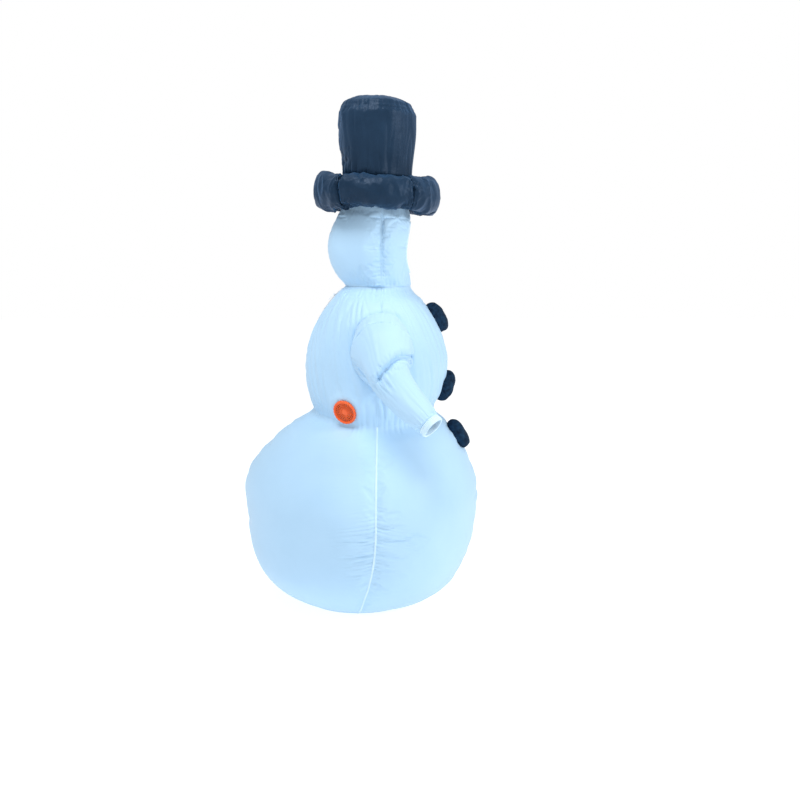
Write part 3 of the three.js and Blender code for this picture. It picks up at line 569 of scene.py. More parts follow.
def body_gathers(levels):
    """How strongly each point's cloth is gathered: most along the side seams, low on the ball."""
    count = COLUMNS // 2
    gathered = np.zeros((len(levels), count))
    side = 0.22 + 0.78 * np.exp(-(((levels - 0.33) / 0.16) ** 2))
    middle = np.full(len(levels), 0.4)
    for quarter, strength in enumerate((side, middle, side, middle)):
        for step, share in ((-1, 0.6), (0, 1.0), (1, 0.6)):
            gathered[:, (quarter * QUARTER // 2 + step) % count] = strength * share
    waist = np.abs(np.arange(len(levels)) - (BALL_ROWS - 1))
    return np.maximum(gathered, 0.55 * np.exp(-((waist / 1.5) ** 2))[:, None])


def body_folds(levels, points):
    """The heights of the body's folds: gathers at its seams, creases across the torso, and soft lumps."""
    rows = len(levels)
    is_ball = levels < WAIST
    side = np.where(is_ball, 0.0003 + 0.0052 * np.exp(-(((levels - 0.285) / 0.105) ** 2)), 0.0010)
    folds = np.zeros((rows, COLUMNS))
    for column, seed in ((RIGHT, 11), (LEFT, 12)):
        run, away = column_run(points, column), column_distance(points, column)
        folds += side[:, None] * puckers(run, away, 0.0135, 0.10, seed, 0.2)
    middle = np.where(is_ball, 0.0095 * smooth(levels / 0.08) * smooth((WAIST - levels) / 0.12), 0.0008)
    for column, seed in ((FRONT, 13), (BACK, 14)):
        run, away = column_run(points, column), column_distance(points, column)
        folds += middle[:, None] * puckers(run, away, 0.065, 0.13, seed, 0.1)
    around = ((np.arange(COLUMNS) - BACK) % COLUMNS)[None, :]
    gathers = ((WAIST_ROW, 0.0034, 0.0024, 0.05, 15), (rows - 1, 0, 0.0030, 0.07, 16))
    for row, above, below, reach, seed in gathers:
        run = column_run(points, BACK)
        away = np.abs(run - run[row])
        pitch = np.linalg.norm(points[row, 1] - points[row, 0])
        strength = np.where(np.arange(rows) > row, above, below)[:, None]
        folds += strength * puckers(around * pitch + 0 * away, away, 0.015, reach, seed)
    streaks = noise_field(rows, COLUMNS, 13, 3.0, 6)
    for row in range(rows):
        streaks[row] = np.roll(streaks[row], -int(0.45 * row))
    torso = smooth((levels - WAIST) / 0.05) * smooth((NECK - levels) / 0.1)
    folds += 0.0030 * torso[:, None] * np.minimum(np.abs(streaks), 1.5)
    lumps = smooth(levels / 0.1) * smooth((NECK - levels) / 0.08) * smooth(np.abs(levels - WAIST) / 0.06)
    lump_height = (0.0030 + 0.0014 * is_ball * lumps)[:, None] * lumps[:, None]
    folds += lump_height * noise_field(rows, COLUMNS, 24, 22, 5)
    hole = np.where(np.abs(points[..., 0]) > 0.15, hole_share(points), 9)
    folds -= 0.0030 * np.exp(-(((hole - 1.0) / 0.05) ** 2)) * (~is_ball)[:, None]
    return folds


def body_cloth():
    levels, points = coarse_body()
    pinned = np.zeros(points.shape[:2])
    pinned[[0, BALL_ROWS - 1, -1]] = 1
    pinned[BALL_ROWS - 1 :, BACK // 2 - 1 : BACK // 2 + 2] = 1
    moved = inflate(points, pinned, body_gathers(levels), slack=0.008, shrink=0.06)
    cloth = refine(keep_shape(points, moved, 7, 7, 0.0, (0, BALL_ROWS - 1, len(points) - 1)))
    levels = np.interp(np.arange(2 * len(levels) - 1) / 2, np.arange(len(levels)), levels)
    folds = body_folds(levels, cloth)
    away = 1 - np.exp(-((column_distance(cloth, BACK) / 0.035) ** 4))
    folds *= np.where(levels[:, None] > WAIST, away, 1.0)
    folds *= (smooth((NECK - levels) / 0.01) * smooth(levels / 0.012))[:, None]
    cloth = seat_the_fan(raised(cloth, folds))
    cloth[..., 2] = np.maximum(cloth[..., 2], 0)
    return levels, cloth


def fan_radius(points):
    offset = points - fan_seat
    height = offset @ fan_out
    return np.linalg.norm(offset - height[..., None] * fan_out, axis=-1), height


def seat_the_fan(points):
    """Lays the cloth flat under the blower's rim."""
    radius, height = fan_radius(points)
    near = (1 - smooth((radius - 0.044) / 0.03)) * (np.abs(height) < 0.05)
    return points - (near * height)[..., None] * fan_out


levels, body = body_cloth()
body_tree = surface_tree(body)


def quad_mean(field):
    return (field[:-1, :-1] + field[1:, :-1] + field[1:, 1:] + field[:-1, 1:]) / 4


def body_panels():
    for quarter, index in QUARTERS.items():
        columns = (np.arange(QUARTER + 1) + index * QUARTER) % COLUMNS
        lower = body[: WAIST_ROW + 1, columns]
        upper = body[WAIST_ROW:, columns].copy()
        if quarter.endswith("back"):
            edge = -1 if quarter.startswith("left") else 0
            open_rows = (levels[WAIST_ROW:] > ZIP_FOOT - 0.006) & (levels[WAIST_ROW:] < ZIP_HEAD + 0.004)
            upper[open_rows, edge, 0] = ZIP_SLOT if edge else -ZIP_SLOT
        shown = quad_mean(hole_share(upper)) > 0.9
        shown &= (quad_mean(fan_radius(upper)[0]) > FAN_DUCT) | (quad_mean(upper[..., 0]) > 0)
        for part, points, keep in (("ball", lower, None), ("torso", upper, shown)):
            name = f"{part}_panel_{quarter}"
            piece = link(grid_mesh(name, points, keep=keep), f"{name}_cloth")
            finish_piece(piece, "costume", WHITE, [name])


body_panels()


# ---------------------------------------------------------------- seams, elastics and the bottom
def ribbon(spine, across, out, width, rise, ripple=0.0, seed=3):
    """A narrow band along a line, slightly rounded, with a ripple where it is gathered."""
    across = across / np.linalg.norm(across, axis=-1, keepdims=True)
    height = rise + ripple * noise_field(len(spine), 1, 1.5, 0, seed, False)[:, 0]
    strips = []
    for side in np.linspace(-1, 1, 7):
        lift = height * (1 - side**4) - 0.0004
        strips.append(spine + across * side * width / 2 + out * lift[:, None])
    band = np.stack(strips, 1)
    band[..., 2] = np.maximum(band[..., 2], 0.0002)
    return band


def seam_ribbon(grid, column, rows, width, rise, ripple=0.0):
    columns = grid.shape[1]
    spine = blur(grid[rows, column % columns][:, None], 1.5, 0, False)[:, 0]
    across = grid[rows, (column + 1) % columns] - grid[rows, (column - 1) % columns]
    out = blur(normals_of(grid)[rows, column % columns][:, None], 3, 0, False)[:, 0]
    return ribbon(spine, across, out, width, rise, ripple)


def side_seams():
    for side, column in (("right", RIGHT), ("left", LEFT)):
        name = f"side_seam_ball_{side}"
        band = seam_ribbon(body, column, slice(0, WAIST_ROW + 1), 0.0075, 0.0026, 0.0006)
        ball = grid_mesh("binding", band)
        finish_piece(link(ball, f"{name}_binding"), "costume", ELASTIC, [name])
        edge = hole_share(body[:, column])
        below = np.nonzero((levels > WAIST) & (levels < HOLE_Z) & (edge > 0.97))[0]
        above = np.nonzero((levels > HOLE_Z) & (edge > 0.97))[0]
        runs = [(seam_ribbon(body, column, rows, 0.005, 0.0011, 0.0002), False) for rows in (below, above)]
        piece = link(joined_mesh("seam", runs), f"torso_side_seam_{side}")
        finish_piece(piece, "costume", WHITE)


side_seams()


def ruched_cord(name, loop, axis, radius, pitch, seed):
    """A round elastic inside gathered cloth, along a closed loop that runs anticlockwise about an axis."""
    ahead = np.roll(loop, -1, 0) - np.roll(loop, 1, 0)
    out = np.cross(ahead, axis)
    out /= np.linalg.norm(out, axis=-1, keepdims=True)
    run = np.concatenate([[0], np.cumsum(np.linalg.norm(np.diff(loop, axis=0), axis=-1))])
    swell = 1 + 0.3 * puckers(run, np.zeros_like(run), pitch, 1, seed)
    rings = []
    for turn in np.linspace(0, 2 * np.pi, 14, endpoint=False):
        offset = math.cos(turn) * out - math.sin(turn) * np.array(axis)
        rings.append(loop + offset * (radius * swell)[:, None])
    return grid_mesh(name, np.stack(rings + rings[:1], 0)[::-1], True)


def leg_elastics():
    turn = np.linspace(0, 2 * np.pi, 200, endpoint=False)
    for side, sign, seed in (("right", -1, 31), ("left", 1, 32)):
        reach = LEG_R - 0.0055
        loop = [sign * LEG_X + reach * np.cos(turn), LEG_Y + reach * np.sin(turn), np.full(200, 0.0065)]
        mesh = ruched_cord("cord", np.stack(loop, -1), (0, 0, 1), 0.005, 0.010, seed)
        name = f"leg_elastic_{side}"
        finish_piece(link(mesh, f"{name}_cord"), "costume", ELASTIC, [name])


def base_piece():
    """The bottom panel: flat cloth from the ball's foot to the two leg holes, puckered round the holes."""
    turns = np.linspace(0, 2 * np.pi, 144, endpoint=False)
    outer = [(BASE_X * math.cos(a), BASE_Y * math.sin(a)) for a in turns]
    holes = []
    for sign in (-1, 1):
        turns = np.linspace(0, 2 * np.pi, 72, endpoint=False)
        holes.append([(sign * LEG_X + LEG_R * math.cos(a), LEG_Y + LEG_R * math.sin(a)) for a in turns])
    x, y = np.meshgrid(np.arange(-0.22, 0.2201, 0.007), np.arange(-0.21, 0.2101, 0.007))
    inside = (x / BASE_X) ** 2 + (y / BASE_Y) ** 2 < 0.95
    for sign in (-1, 1):
        inside &= np.hypot(x - sign * LEG_X, y - LEG_Y) > LEG_R + 0.004
    points, edges = [], []
    for loop in [outer, *holes]:
        first, count = len(points), len(loop)
        points += loop
        edges += [(first + i, first + (i + 1) % count) for i in range(count)]
    points += list(zip(x[inside].tolist(), y[inside].tolist()))
    made, _, faces, *_ = delaunay_2d_cdt([Vector(p) for p in points], edges, [], 1, 1e-6)
    flat = np.array([(p.x, p.y) for p in made])
    corners = np.array([face for face in faces if len(face) == 3])
    middle = flat[corners].mean(1)
    shown = np.full(len(corners), True)
    height = np.full(len(flat), 0.0006)
    for sign in (-1, 1):
        shown &= np.hypot(middle[:, 0] - sign * LEG_X, middle[:, 1] - LEG_Y) > LEG_R - 0.001
        offset = flat - (sign * LEG_X, LEG_Y)
        away = np.maximum(np.linalg.norm(offset, axis=-1) - LEG_R, 0)
        along = np.arctan2(offset[:, 1], offset[:, 0]) * LEG_R
        height += 0.0016 * (puckers(along, away, 0.010, 0.03, 33) + 0.6) * np.exp(-away / 0.03)
    mesh = mesh_from("base", np.column_stack([flat, np.clip(height, 0.0004, 0.003)]), corners)
    finish_piece(link(mesh, "base_panel_cloth"), "costume", WHITE, ["base_panel"])


def inner_bands():
    """The flat elastics inside the waist and neck seams."""
    degrees = np.arange(240) * 1.5
    for name, z, inset, width in (("waist_elastic", WAIST - 0.020, 0.022, 0.012),
                                  ("neck_elastic", NECK - 0.010, 0.015, 0.010)):
        outer = ring(body_outline, z, degrees)
        normal = np.cross(np.roll(outer, -1, 0) - np.roll(outer, 1, 0), (0, 0, 1))
        normal /= np.linalg.norm(normal, axis=-1, keepdims=True)
        wave = 0.0009 * np.sin(np.radians(degrees) * 60)[:, None]
        heights = np.linspace(-0.5, 0.5, 6) * width
        rows = [outer - normal * (inset + wave) + np.array([0, 0, height]) for height in heights]
        piece = link(grid_mesh(name, np.stack(rows), True), f"{name}_band")
        finish_piece(piece, "costume", ELASTIC, [name])


leg_elastics()
base_piece()
inner_bands()

# ---------------------------------------------------------------- the hood
HOOD_COLUMNS, HOOD_ROWS = 400, 56
HOOD_BEND = ("costume", "head", (0, -0.062, NECK), (0, -0.062, 1.2))


def face_share(points):
    share = np.hypot(points[..., 0] / FACE_HALF_X, (points[..., 2] - FACE_Z) / FACE_HALF_Z)
    return np.where(points[..., 1] < seam_y(FACE_Z), share, 9)


def hood_cloth():
    count, quarter = HOOD_COLUMNS // 2, HOOD_COLUMNS // 8
    heights = np.linspace(NECK, HOOD_TOP, HOOD_ROWS)
    points = np.stack([hood_ring(z, np.arange(count) * 360 / count) for z in heights])
    pinned, gathered = np.zeros(points.shape[:2]), np.zeros(points.shape[:2])
    pinned[[0, -1]] = 1
    pinned[face_share(points) < 1.12] = 1
    for column in (0, 2 * quarter, 3 * quarter):
        gathered[:, [column - 1, column, column + 1]] = 0.7
    gathered[:3] = 0.5
    moved = inflate(points, pinned, gathered, pressure=4.0, slack=0.012, shrink=0.06)
    cloth = refine(keep_shape(points, moved, 6, 6, 0.05, (0, len(points) - 1)))
    heights = np.linspace(NECK, HOOD_TOP, len(cloth))
    folds = np.zeros(cloth.shape[:2])
    side = 0.0007 + 0.0022 * np.exp(-(((heights - 1.2) / 0.05) ** 2))
    for column, seed in ((0, 21), (HOOD_COLUMNS // 2, 22)):
        run, away = column_run(cloth, column), column_distance(cloth, column)
        folds += side[:, None] * puckers(run, away, 0.012, 0.035, seed, 0.15)
    run, away = column_run(cloth, 3 * HOOD_COLUMNS // 4), column_distance(cloth, 3 * HOOD_COLUMNS // 4)
    folds += 0.0014 * puckers(run, away, 0.018, 0.035, 23)
    around = np.linspace(0, 0.75, HOOD_COLUMNS, endpoint=False)[None, :] + 0 * run
    for row, seed in ((0, 24), (len(cloth) - 1, 25)):
        folds += 0.0026 * puckers(around, np.abs(run - run[row]), 0.018, 0.06, seed)
    share = face_share(cloth)
    turn = np.arctan2(cloth[..., 2] - FACE_Z, cloth[..., 0]) * 0.08
    edge = np.clip(share - 1, 0, 4) * 0.08
    folds += 0.0024 * puckers(turn, edge, 0.011, 0.05, 26) - 0.003 * np.exp(-((edge / 0.008) ** 2))
    folds += 0.0020 * noise_field(*cloth.shape[:2], 13, 13, 27)
    folds *= smooth((heights - NECK) / 0.006)[:, None]
    return raised(cloth, folds)


hood = hood_cloth()


def face_edge(points):
    """Which quads lie outside the face opening; the cloth's edge is moved onto it."""
    share = face_share(points)
    keep = quad_mean(share) > 1
    kept, cut = np.zeros(share.shape, bool), np.zeros(share.shape, bool)
    for rows in (slice(0, -1), slice(1, None)):
        for columns in (slice(0, -1), slice(1, None)):
            kept[rows, columns] |= keep
            cut[rows, columns] |= ~keep
    edge = kept & cut
    offset = points[edge] - np.array([0, 0, FACE_Z])
    points[edge, 0] = offset[:, 0] / share[edge]
    points[edge, 2] = FACE_Z + offset[:, 2] / share[edge]
    return keep


def hood_panels():
    quarter = HOOD_COLUMNS // 4
    for part, first, count in (("front", 0, 2), ("left_back", 2, 1), ("right_back", 3, 1)):
        columns = (np.arange(count * quarter + 1) + first * quarter) % HOOD_COLUMNS
        points = hood[:, columns].copy()
        keep = face_edge(points) if part == "front" else None
        name = f"hood_panel_{part}"
        piece = link(grid_mesh(name, points, keep=keep), f"{name}_cloth")
        finish_piece(piece, HOOD_BEND, WHITE, [name])
    runs = [(seam_ribbon(hood, column, slice(1, None), 0.005, 0.0012, 0.0002), False)
            for column in (0, HOOD_COLUMNS // 2)]
    finish_piece(link(joined_mesh("seams", runs), "hood_side_seams"), HOOD_BEND, WHITE)


def face_elastic():
    tree = surface_tree(hood)
    loop = []
    for turn in np.linspace(0, 2 * np.pi, 260, endpoint=False):
        x, z = FACE_HALF_X * math.cos(turn), FACE_Z + FACE_HALF_Z * math.sin(turn)
        hit = tree.ray_cast(Vector((x * 1.03, -0.5, FACE_Z + (z - FACE_Z) * 1.03)), Vector((0, 1, 0)))[0]
        loop.append((x * 0.955, hit.y + 0.0015, FACE_Z + (z - FACE_Z) * 0.955))
    loop = blur(np.array(loop)[None], 0, 3)[0]
    mesh = ruched_cord("cord", loop, (0, -1, 0), 0.0052, 0.010, 28)
    finish_piece(link(mesh, "face_elastic_cord"), HOOD_BEND, ELASTIC, ["face_elastic"])


hood_panels()
face_elastic()

# ---------------------------------------------------------------- the hat
BRIM_COLUMNS, BRIM_ROWS = 480, 46
CROWN_COLUMNS, CROWN_SIDE_ROWS, CROWN_TOP_ROWS = 320, 34, 22


def brim_cloth():
    """The brim's tube, blown up between its radial seams and its two inner edges."""
    count = BRIM_COLUMNS // 2
    degrees = np.arange(count) * 360 / count
    turns = np.linspace(-BRIM_OPEN, BRIM_OPEN, BRIM_ROWS)[:, None]
    share = (degrees / (360 / BRIM_PARTS) + 0.5) % 1
    nearness = np.abs(2 * share - 1)[None, :]
    outward = np.cos(np.radians(turns * 90 / BRIM_OPEN))
    tube = BRIM_TUBE * (1 - BRIM_PINCH * nearness**3 * outward**2)
    tall = 1 + BRIM_SWELL * outward * np.sin(np.radians(degrees)) ** 2
    radius = BRIM_RING + tube * np.cos(np.radians(turns))
    height = BRIM_Z + tube * tall * np.sin(np.radians(turns))
    points = hat_point(radius, np.broadcast_to(degrees, radius.shape), height)
    pinned, gathered = np.zeros(points.shape[:2]), np.zeros(points.shape[:2])
    pinned[[0, -1]] = 1
    gathered[np.broadcast_to(nearness > 0.95, gathered.shape)] = 0.2
    gathered[[1, 2, -3, -2]] = 0.5
    moved = inflate(points, pinned, gathered, pressure=3.0, slack=0.06, shrink=0.14)
    cloth = refine(keep_shape(points, moved, 6, 6, 0.15))
    rows = len(cloth)
    run = column_run(cloth, 0)
    folds = 0.0020 * noise_field(rows, BRIM_COLUMNS, 9, 12, 42)
    folds -= 0.0044 * np.minimum(np.abs(noise_field(rows, BRIM_COLUMNS, 6.5, 5, 43)), 1.6)
    step = BRIM_COLUMNS // BRIM_PARTS
    for part in range(BRIM_PARTS):
        column = part * step + step // 2
        away = column_distance(cloth, column)
        folds += 0.0026 * puckers(run, away, 0.017, 0.045, 50 + part)
        folds -= 0.0022 * np.exp(-((away / 0.004) ** 2))
    around = np.linspace(0, 1.25, BRIM_COLUMNS, endpoint=False)[None, :] + 0 * run
    for row, seed in ((0, 44), (rows - 1, 45)):
        folds += 0.0020 * puckers(around, np.abs(run - run[row]), 0.022, 0.055, seed)
    quiet = smooth(np.minimum(run, run[-1] - run) / 0.012)
    return raised(cloth, folds * quiet)


def brim_pieces():
    cloth = brim_cloth()
    step = BRIM_COLUMNS // BRIM_PARTS
    for part in range(BRIM_PARTS):
        columns = (np.arange(step + 1) + part * step - step // 2) % BRIM_COLUMNS
        name = f"hat_brim_segment_{part + 1}"
        mesh = grid_mesh(name, cloth[:, columns])
        finish_piece(link(mesh, f"{name}_cloth"), "head", BLACK, [name])


def crown_cloth():
    """The crown's side and domed top as one cloth, gathered along the seam between them."""
    degrees = np.arange(CROWN_COLUMNS // 2) * 720 / CROWN_COLUMNS
    rings = []
    for v in np.linspace(0, 1, CROWN_SIDE_ROWS):
        radius = CROWN_FOOT_RADIUS + (CROWN_HEAD_RADIUS - CROWN_FOOT_RADIUS) * smooth(v * 1.35)
        rings.append(hat_point(radius, degrees, CROWN_FOOT + v * (CROWN_HEAD - CROWN_FOOT)))
    for share in np.linspace(1, 0.02, CROWN_TOP_ROWS)[1:]:
        rise = CROWN_RISE * (1 - share**2.6)
        rings.append(hat_point(CROWN_HEAD_RADIUS * share, degrees, CROWN_HEAD + rise))
    points = np.stack(rings)
    pinned, gathered = np.zeros(points.shape[:2]), np.zeros(points.shape[:2])
    pinned[0] = 1
    pinned[-3:] = 1
    gathered[CROWN_SIDE_ROWS - 2 : CROWN_SIDE_ROWS + 1] = 0.8
    gathered[1:3] = 0.6
    gathered[:CROWN_SIDE_ROWS, len(degrees) * 3 // 4] = 0.5
    moved = inflate(points, pinned, gathered, pressure=3.5, slack=0.02, shrink=0.05)
    cloth = refine(keep_shape(points, moved, 6, 6, 0.1))
    rows, rim = len(cloth), 2 * (CROWN_SIDE_ROWS - 1)
    run = column_run(cloth, 0)
    around = np.linspace(0, 0.8, CROWN_COLUMNS, endpoint=False)[None, :] + 0 * run
    folds = 0.0018 * puckers(around, np.abs(run - run[rim]), 0.022, 0.035, 61)
    folds -= 0.0018 * np.exp(-(((run - run[rim]) / 0.004) ** 2))
    folds += 0.0016 * puckers(around, run, 0.03, 0.06, 62)
    folds += 0.0016 * noise_field(rows, CROWN_COLUMNS, 12, 5, 63) * smooth((run[-1] - run) / 0.12)
    streaks = np.minimum(np.abs(noise_field(rows, CROWN_COLUMNS, 14, 3, 64)), 1.2)
    folds += 0.0026 * streaks * smooth((run[-1] - run) / 0.15)
    return rim, raised(cloth, folds * smooth(run / 0.006) * smooth((run[-1] - run) / 0.03))


def crown_pieces():
    rim, cloth = crown_cloth()
    side = grid_mesh("crown_side", cloth[: rim + 1], True)
    finish_piece(link(side, "hat_crown_side_cloth"), "head", BLACK, ["hat_crown_side"])
    middle = np.broadcast_to(cloth[-1].mean(0), cloth[-1].shape)
    top = grid_mesh("crown_top", np.concatenate([cloth[rim:], middle[None]]), True)
    finish_piece(link(top, "hat_crown_top_cloth"), "head", BLACK, ["hat_crown_top"])


brim_pieces()
crown_pieces()

# ---------------------------------------------------------------- the sleeves
SLEEVE_COLUMNS, SLEEVE_ROWS, CAP_ROWS = 208, 64, 12
# The fold at the bend of the arm, in the side view: y and z
ARM_CREASE = (
    (-0.070, 0.822),
    (-0.092, 0.856),
    (-0.120, 0.888),
    (-0.147, 0.902),
    (-0.182, 0.893),
    (-0.200, 0.880),
)


def arm_frame(s):
    """Middle, radius, heading and the two directions of the sleeve's ring at a share of the arm's length."""
    middle = smooth_path(ARM_PATH, s)
    radius = float(smooth_path(SLEEVE_RADII, s)[0])
    ahead = smooth_path(ARM_PATH, min(s + 0.01, 1)) - smooth_path(ARM_PATH, max(s - 0.01, 0))
    ahead /= np.linalg.norm(ahead)
    heading = np.array([-1, 0, 0]) + (ahead - np.array([-1, 0, 0])) * smooth(s / 0.55)
    heading /= np.linalg.norm(heading)
    down = np.cross(heading, (0, 1, 0))
    down /= np.linalg.norm(down)
    return middle, radius, heading, down, np.cross(down, heading)


def arm_ring(s, turn, radius=None, ahead=0.0):
    middle, own, heading, down, across = arm_frame(s)
    reach = own if radius is None else radius
    ring_points = -np.cos(turn)[:, None] * across - np.sin(turn)[:, None] * down
    return middle + heading * ahead + ring_points * np.reshape(reach, (-1, 1))


def armhole_edge(turn):
    """The armhole's edge on the torso's cloth."""
    s, c = np.sin(turn), np.cos(turn)
    y = HOLE_Y - HOLE_HALF * np.where(s < 0, 1 - HOLE_NARROW * s * s, 1) * c
    z = HOLE_Z + np.where(s < 0, HOLE_DOWN, HOLE_UP) * s
    hits = [body_tree.ray_cast(Vector((-0.6, a, b)), Vector((1, 0, 0)))[0] for a, b in zip(y, z)]
    return np.array([tuple(hit) for hit in hits])


def sleeve_grid():
    turn = np.arange(SLEEVE_COLUMNS // 2) * 4 * np.pi / SLEEVE_COLUMNS
    root = armhole_edge(turn)
    joined = 0.16
    rings = []
    for v in np.linspace(0, 1, CAP_ROWS, endpoint=False):
        bulge = 0.010 * math.sin(math.pi * v) * np.array([-1, 0, 0])
        rings.append(root + (arm_ring(joined, turn) - root) * smooth(v) + bulge)
    rings += [arm_ring(s, turn) for s in np.linspace(joined, 1, SLEEVE_ROWS - CAP_ROWS)]
    return np.stack(rings)


def distance_to_line(points, line):
    """The distance in the side view from each point to a chain of short lines, and how far along it is."""
    best, along, run = np.full(points.shape[:2], 9.0), np.zeros(points.shape[:2]), 0.0
    for a, b in zip(line[:-1], line[1:]):
        a, span = np.array(a), np.array(b) - np.array(a)
        length = np.linalg.norm(span)
        share = np.clip((points[..., 1:] - a) @ span / length**2, 0, 1)
        away = np.linalg.norm(points[..., 1:] - a - share[..., None] * span, axis=-1)
        along = np.where(away < best, run + share * length, along)
        best = np.minimum(best, away)
        run += length
    return best, along


def sleeve_cloth():
    points = sleeve_grid()
    pinned, gathered = np.zeros(points.shape[:2]), np.zeros(points.shape[:2])
    pinned[[0, -1]] = 1
    gathered[1:3] = 0.5
    gathered[-4:] = 1
    away, _ = distance_to_line(points, ARM_CREASE)
    outer = normals_of(points)[..., 0] < 0.2
    gathered = np.maximum(gathered, 0.8 * outer * np.exp(-((away / 0.008) ** 2)))
    moved = inflate(points, pinned, gathered, pressure=4.0, slack=0.03, shrink=0.08)
    cloth = refine(keep_shape(points, moved, 6, 6, 0.1, (0, len(points) - 1)))
    rows = len(cloth)
    run = column_run(cloth, SLEEVE_COLUMNS // 4)
    turn = np.linspace(0, 2 * np.pi, SLEEVE_COLUMNS, endpoint=False)[None, :]
    folds = 0.0009 * puckers(turn * 0.10 + 0 * run, run, 0.018, 0.03, 71)
    folds += 0.0024 * puckers(turn * 0.04 + 0 * run, run[-1] - run, 0.009, 0.035, 72)
    folds += 0.0016 * noise_field(rows, SLEEVE_COLUMNS, 9, 8, 73)
    folds += 0.0011 * np.minimum(np.abs(noise_field(rows, SLEEVE_COLUMNS, 12, 3, 74)), 1.3)
    away, along = distance_to_line(cloth, ARM_CREASE)
    out = (normals_of(cloth)[..., 0] < 0) * smooth(along / 0.02) * smooth((0.19 - along) / 0.03)
    folds += out * (0.004 * np.exp(-(((away - 0.020) / 0.014) ** 2)) - 0.007 * np.exp(-((away / 0.006) ** 2)))
    elbow = np.exp(-(((cloth[..., 1] + 0.085) / 0.035) ** 2 + ((cloth[..., 2] - 0.815) / 0.04) ** 2))
    folds += 0.0045 * elbow * (0.6 - np.abs(noise_field(rows, SLEEVE_COLUMNS, 6, 2.2, 75)))
    return raised(cloth, folds * smooth(run / 0.004) * smooth((run[-1] - run) / 0.003))


def cuff_grid():
    """The elastic cuff: gathered cloth that turns in at the wrist."""
    turn = np.linspace(0, 2 * np.pi, 240, endpoint=False)
    profile = ((-0.002, 0.0355), (0.001, 0.0385), (0.005, 0.0372), (0.010, 0.0385), (0.015, 0.0392),
               (0.0195, 0.0375), (0.021, 0.0350), (0.019, 0.0328), (0.012, 0.0325), (0.004, 0.0325))
    profile = np.array([smooth_path(profile, t) for t in np.linspace(0, 1, 40)])
    folds = puckers(turn * WRIST_RADIUS, 0 * turn, 0.0065, 1, 76)
    rings = []
    for number, (ahead, radius) in enumerate(profile):
        share = number / (len(profile) - 1)
        deep = 0.0022 * (1 - 0.6 * math.exp(-(((share - 0.42) / 0.08) ** 2)))
        rings.append(arm_ring(1.0, turn, radius + deep * folds, ahead + 0.001))
    return np.stack(rings)


def sleeve_pieces():
    cloth, cuff = sleeve_cloth(), cuff_grid()
    mirror = np.array([-1, 1, 1])
    for side, sign in (("right", -1), ("left", 1)):
        shown = cloth if sign < 0 else (cloth * mirror)[:, ::-1]
        bend = ("costume", f"{side}_sleeve", (sign * 0.262, ARM_Y, ARM_Z), (sign * 0.345, ARM_Y, ARM_Z))
        nodes = [f"sleeve_{side}", f"shoulder_cap_{side}"]
        piece = link(grid_mesh("sleeve", shown, True), f"sleeve_{side}_cloth")
        finish_piece(piece, bend, WHITE, nodes)
        shown = cuff if sign < 0 else (cuff * mirror)[:, ::-1]
        name = f"wrist_cuff_{side}"
        piece = link(grid_mesh("cuff", shown, True), f"{name}_gathers")
        finish_piece(piece, f"{side}_sleeve", ELASTIC, [name])


sleeve_pieces()


# ---------------------------------------------------------------- the buttons
# Height above the cloth and radius, from the button's back to the middle of its face
BUTTON_PROFILE = (
    (0.0000, 0.0400),
    (-0.0010, 0.0470),
    (0.0040, 0.0525),
    (0.0120, 0.0545),
    (0.0220, 0.0545),
    (0.0310, 0.0510),
    (0.0375, 0.0430),
    (0.0405, 0.0300),
    (0.0418, 0.0150),
    (0.0420, 0.0010),
)


def button_cover(name, level, seed):
    """A stuffed disc of black cloth with a crowned face and a puckered edge, bent onto the front."""
    count = 128
    turn = np.arange(count) * 2 * np.pi / count
    rings = np.array([smooth_path(BUTTON_PROFILE, t) for t in np.linspace(0, 1, 44)])
    out = skin_normal(level, 90)
    rise = math.hypot(out[0], out[1])
    half = body_outline(level)[2]
    centre = ring(body_outline, level, 90)
    hit = body_tree.ray_cast(Vector(centre + out * 0.2), Vector(-out))[0]
    shift = float((np.array(hit) - centre) @ out)
    rows = []
    for height, radius in rings:
        x, up = radius * np.cos(turn), radius * np.sin(turn)
        angles = [90 + math.degrees(math.asin(a / half)) for a in x]
        points = [ring(body_outline, level + u * rise, angle) for angle, u in zip(angles, up)]
        rows.append(np.array(points) + out * (height + shift - 0.001))
    cloth = np.stack(rows)
    run = column_run(cloth, 0)
    around = np.linspace(0, 2 * np.pi * BUTTON_R, count, endpoint=False)[None, :] + 0 * run
    rim = run[14]
    folds = 0.0016 * puckers(around, np.abs(run - rim), 0.011, 0.02, seed)
    folds += 0.0009 * noise_field(len(cloth), count, 3, 4, seed + 1)
    folds *= smooth((run[-1] - run) / 0.02)
    piece = link(grid_mesh(name, fold_in(cloth, folds), True), f"{name}_cloth")
    finish_piece(piece, "costume", BUTTON, [name])
    inner = name.replace("cover", "filling")
    wadding = raised(cloth[2:-1], -0.004 + 0.0007 * noise_field(len(cloth) - 3, count, 1.5, 1.5, seed + 2))
    piece = link(grid_mesh(inner, fold_in(wadding, 0), True), f"{inner}_wadding")
    finish_piece(piece, "costume", WADDING, [inner])


def fold_in(cloth, folds):
    """Raises a closed grid whose last ring is tiny, and shuts it."""
    made = raised(cloth, folds)
    middle = np.broadcast_to(made[-1].mean(0), made[-1].shape)
    return np.concatenate([made, middle[None]])


for index, (place, level) in enumerate(BUTTONS.items()):
    button_cover(f"button_cover_{place}", level, 81 + 3 * index)


# ---------------------------------------------------------------- the blower's grille
FAN_LOBES, FAN_SPOKES, FAN_HUB, GRILLE_RISE = 24, 24, 0.0045, 0.0052
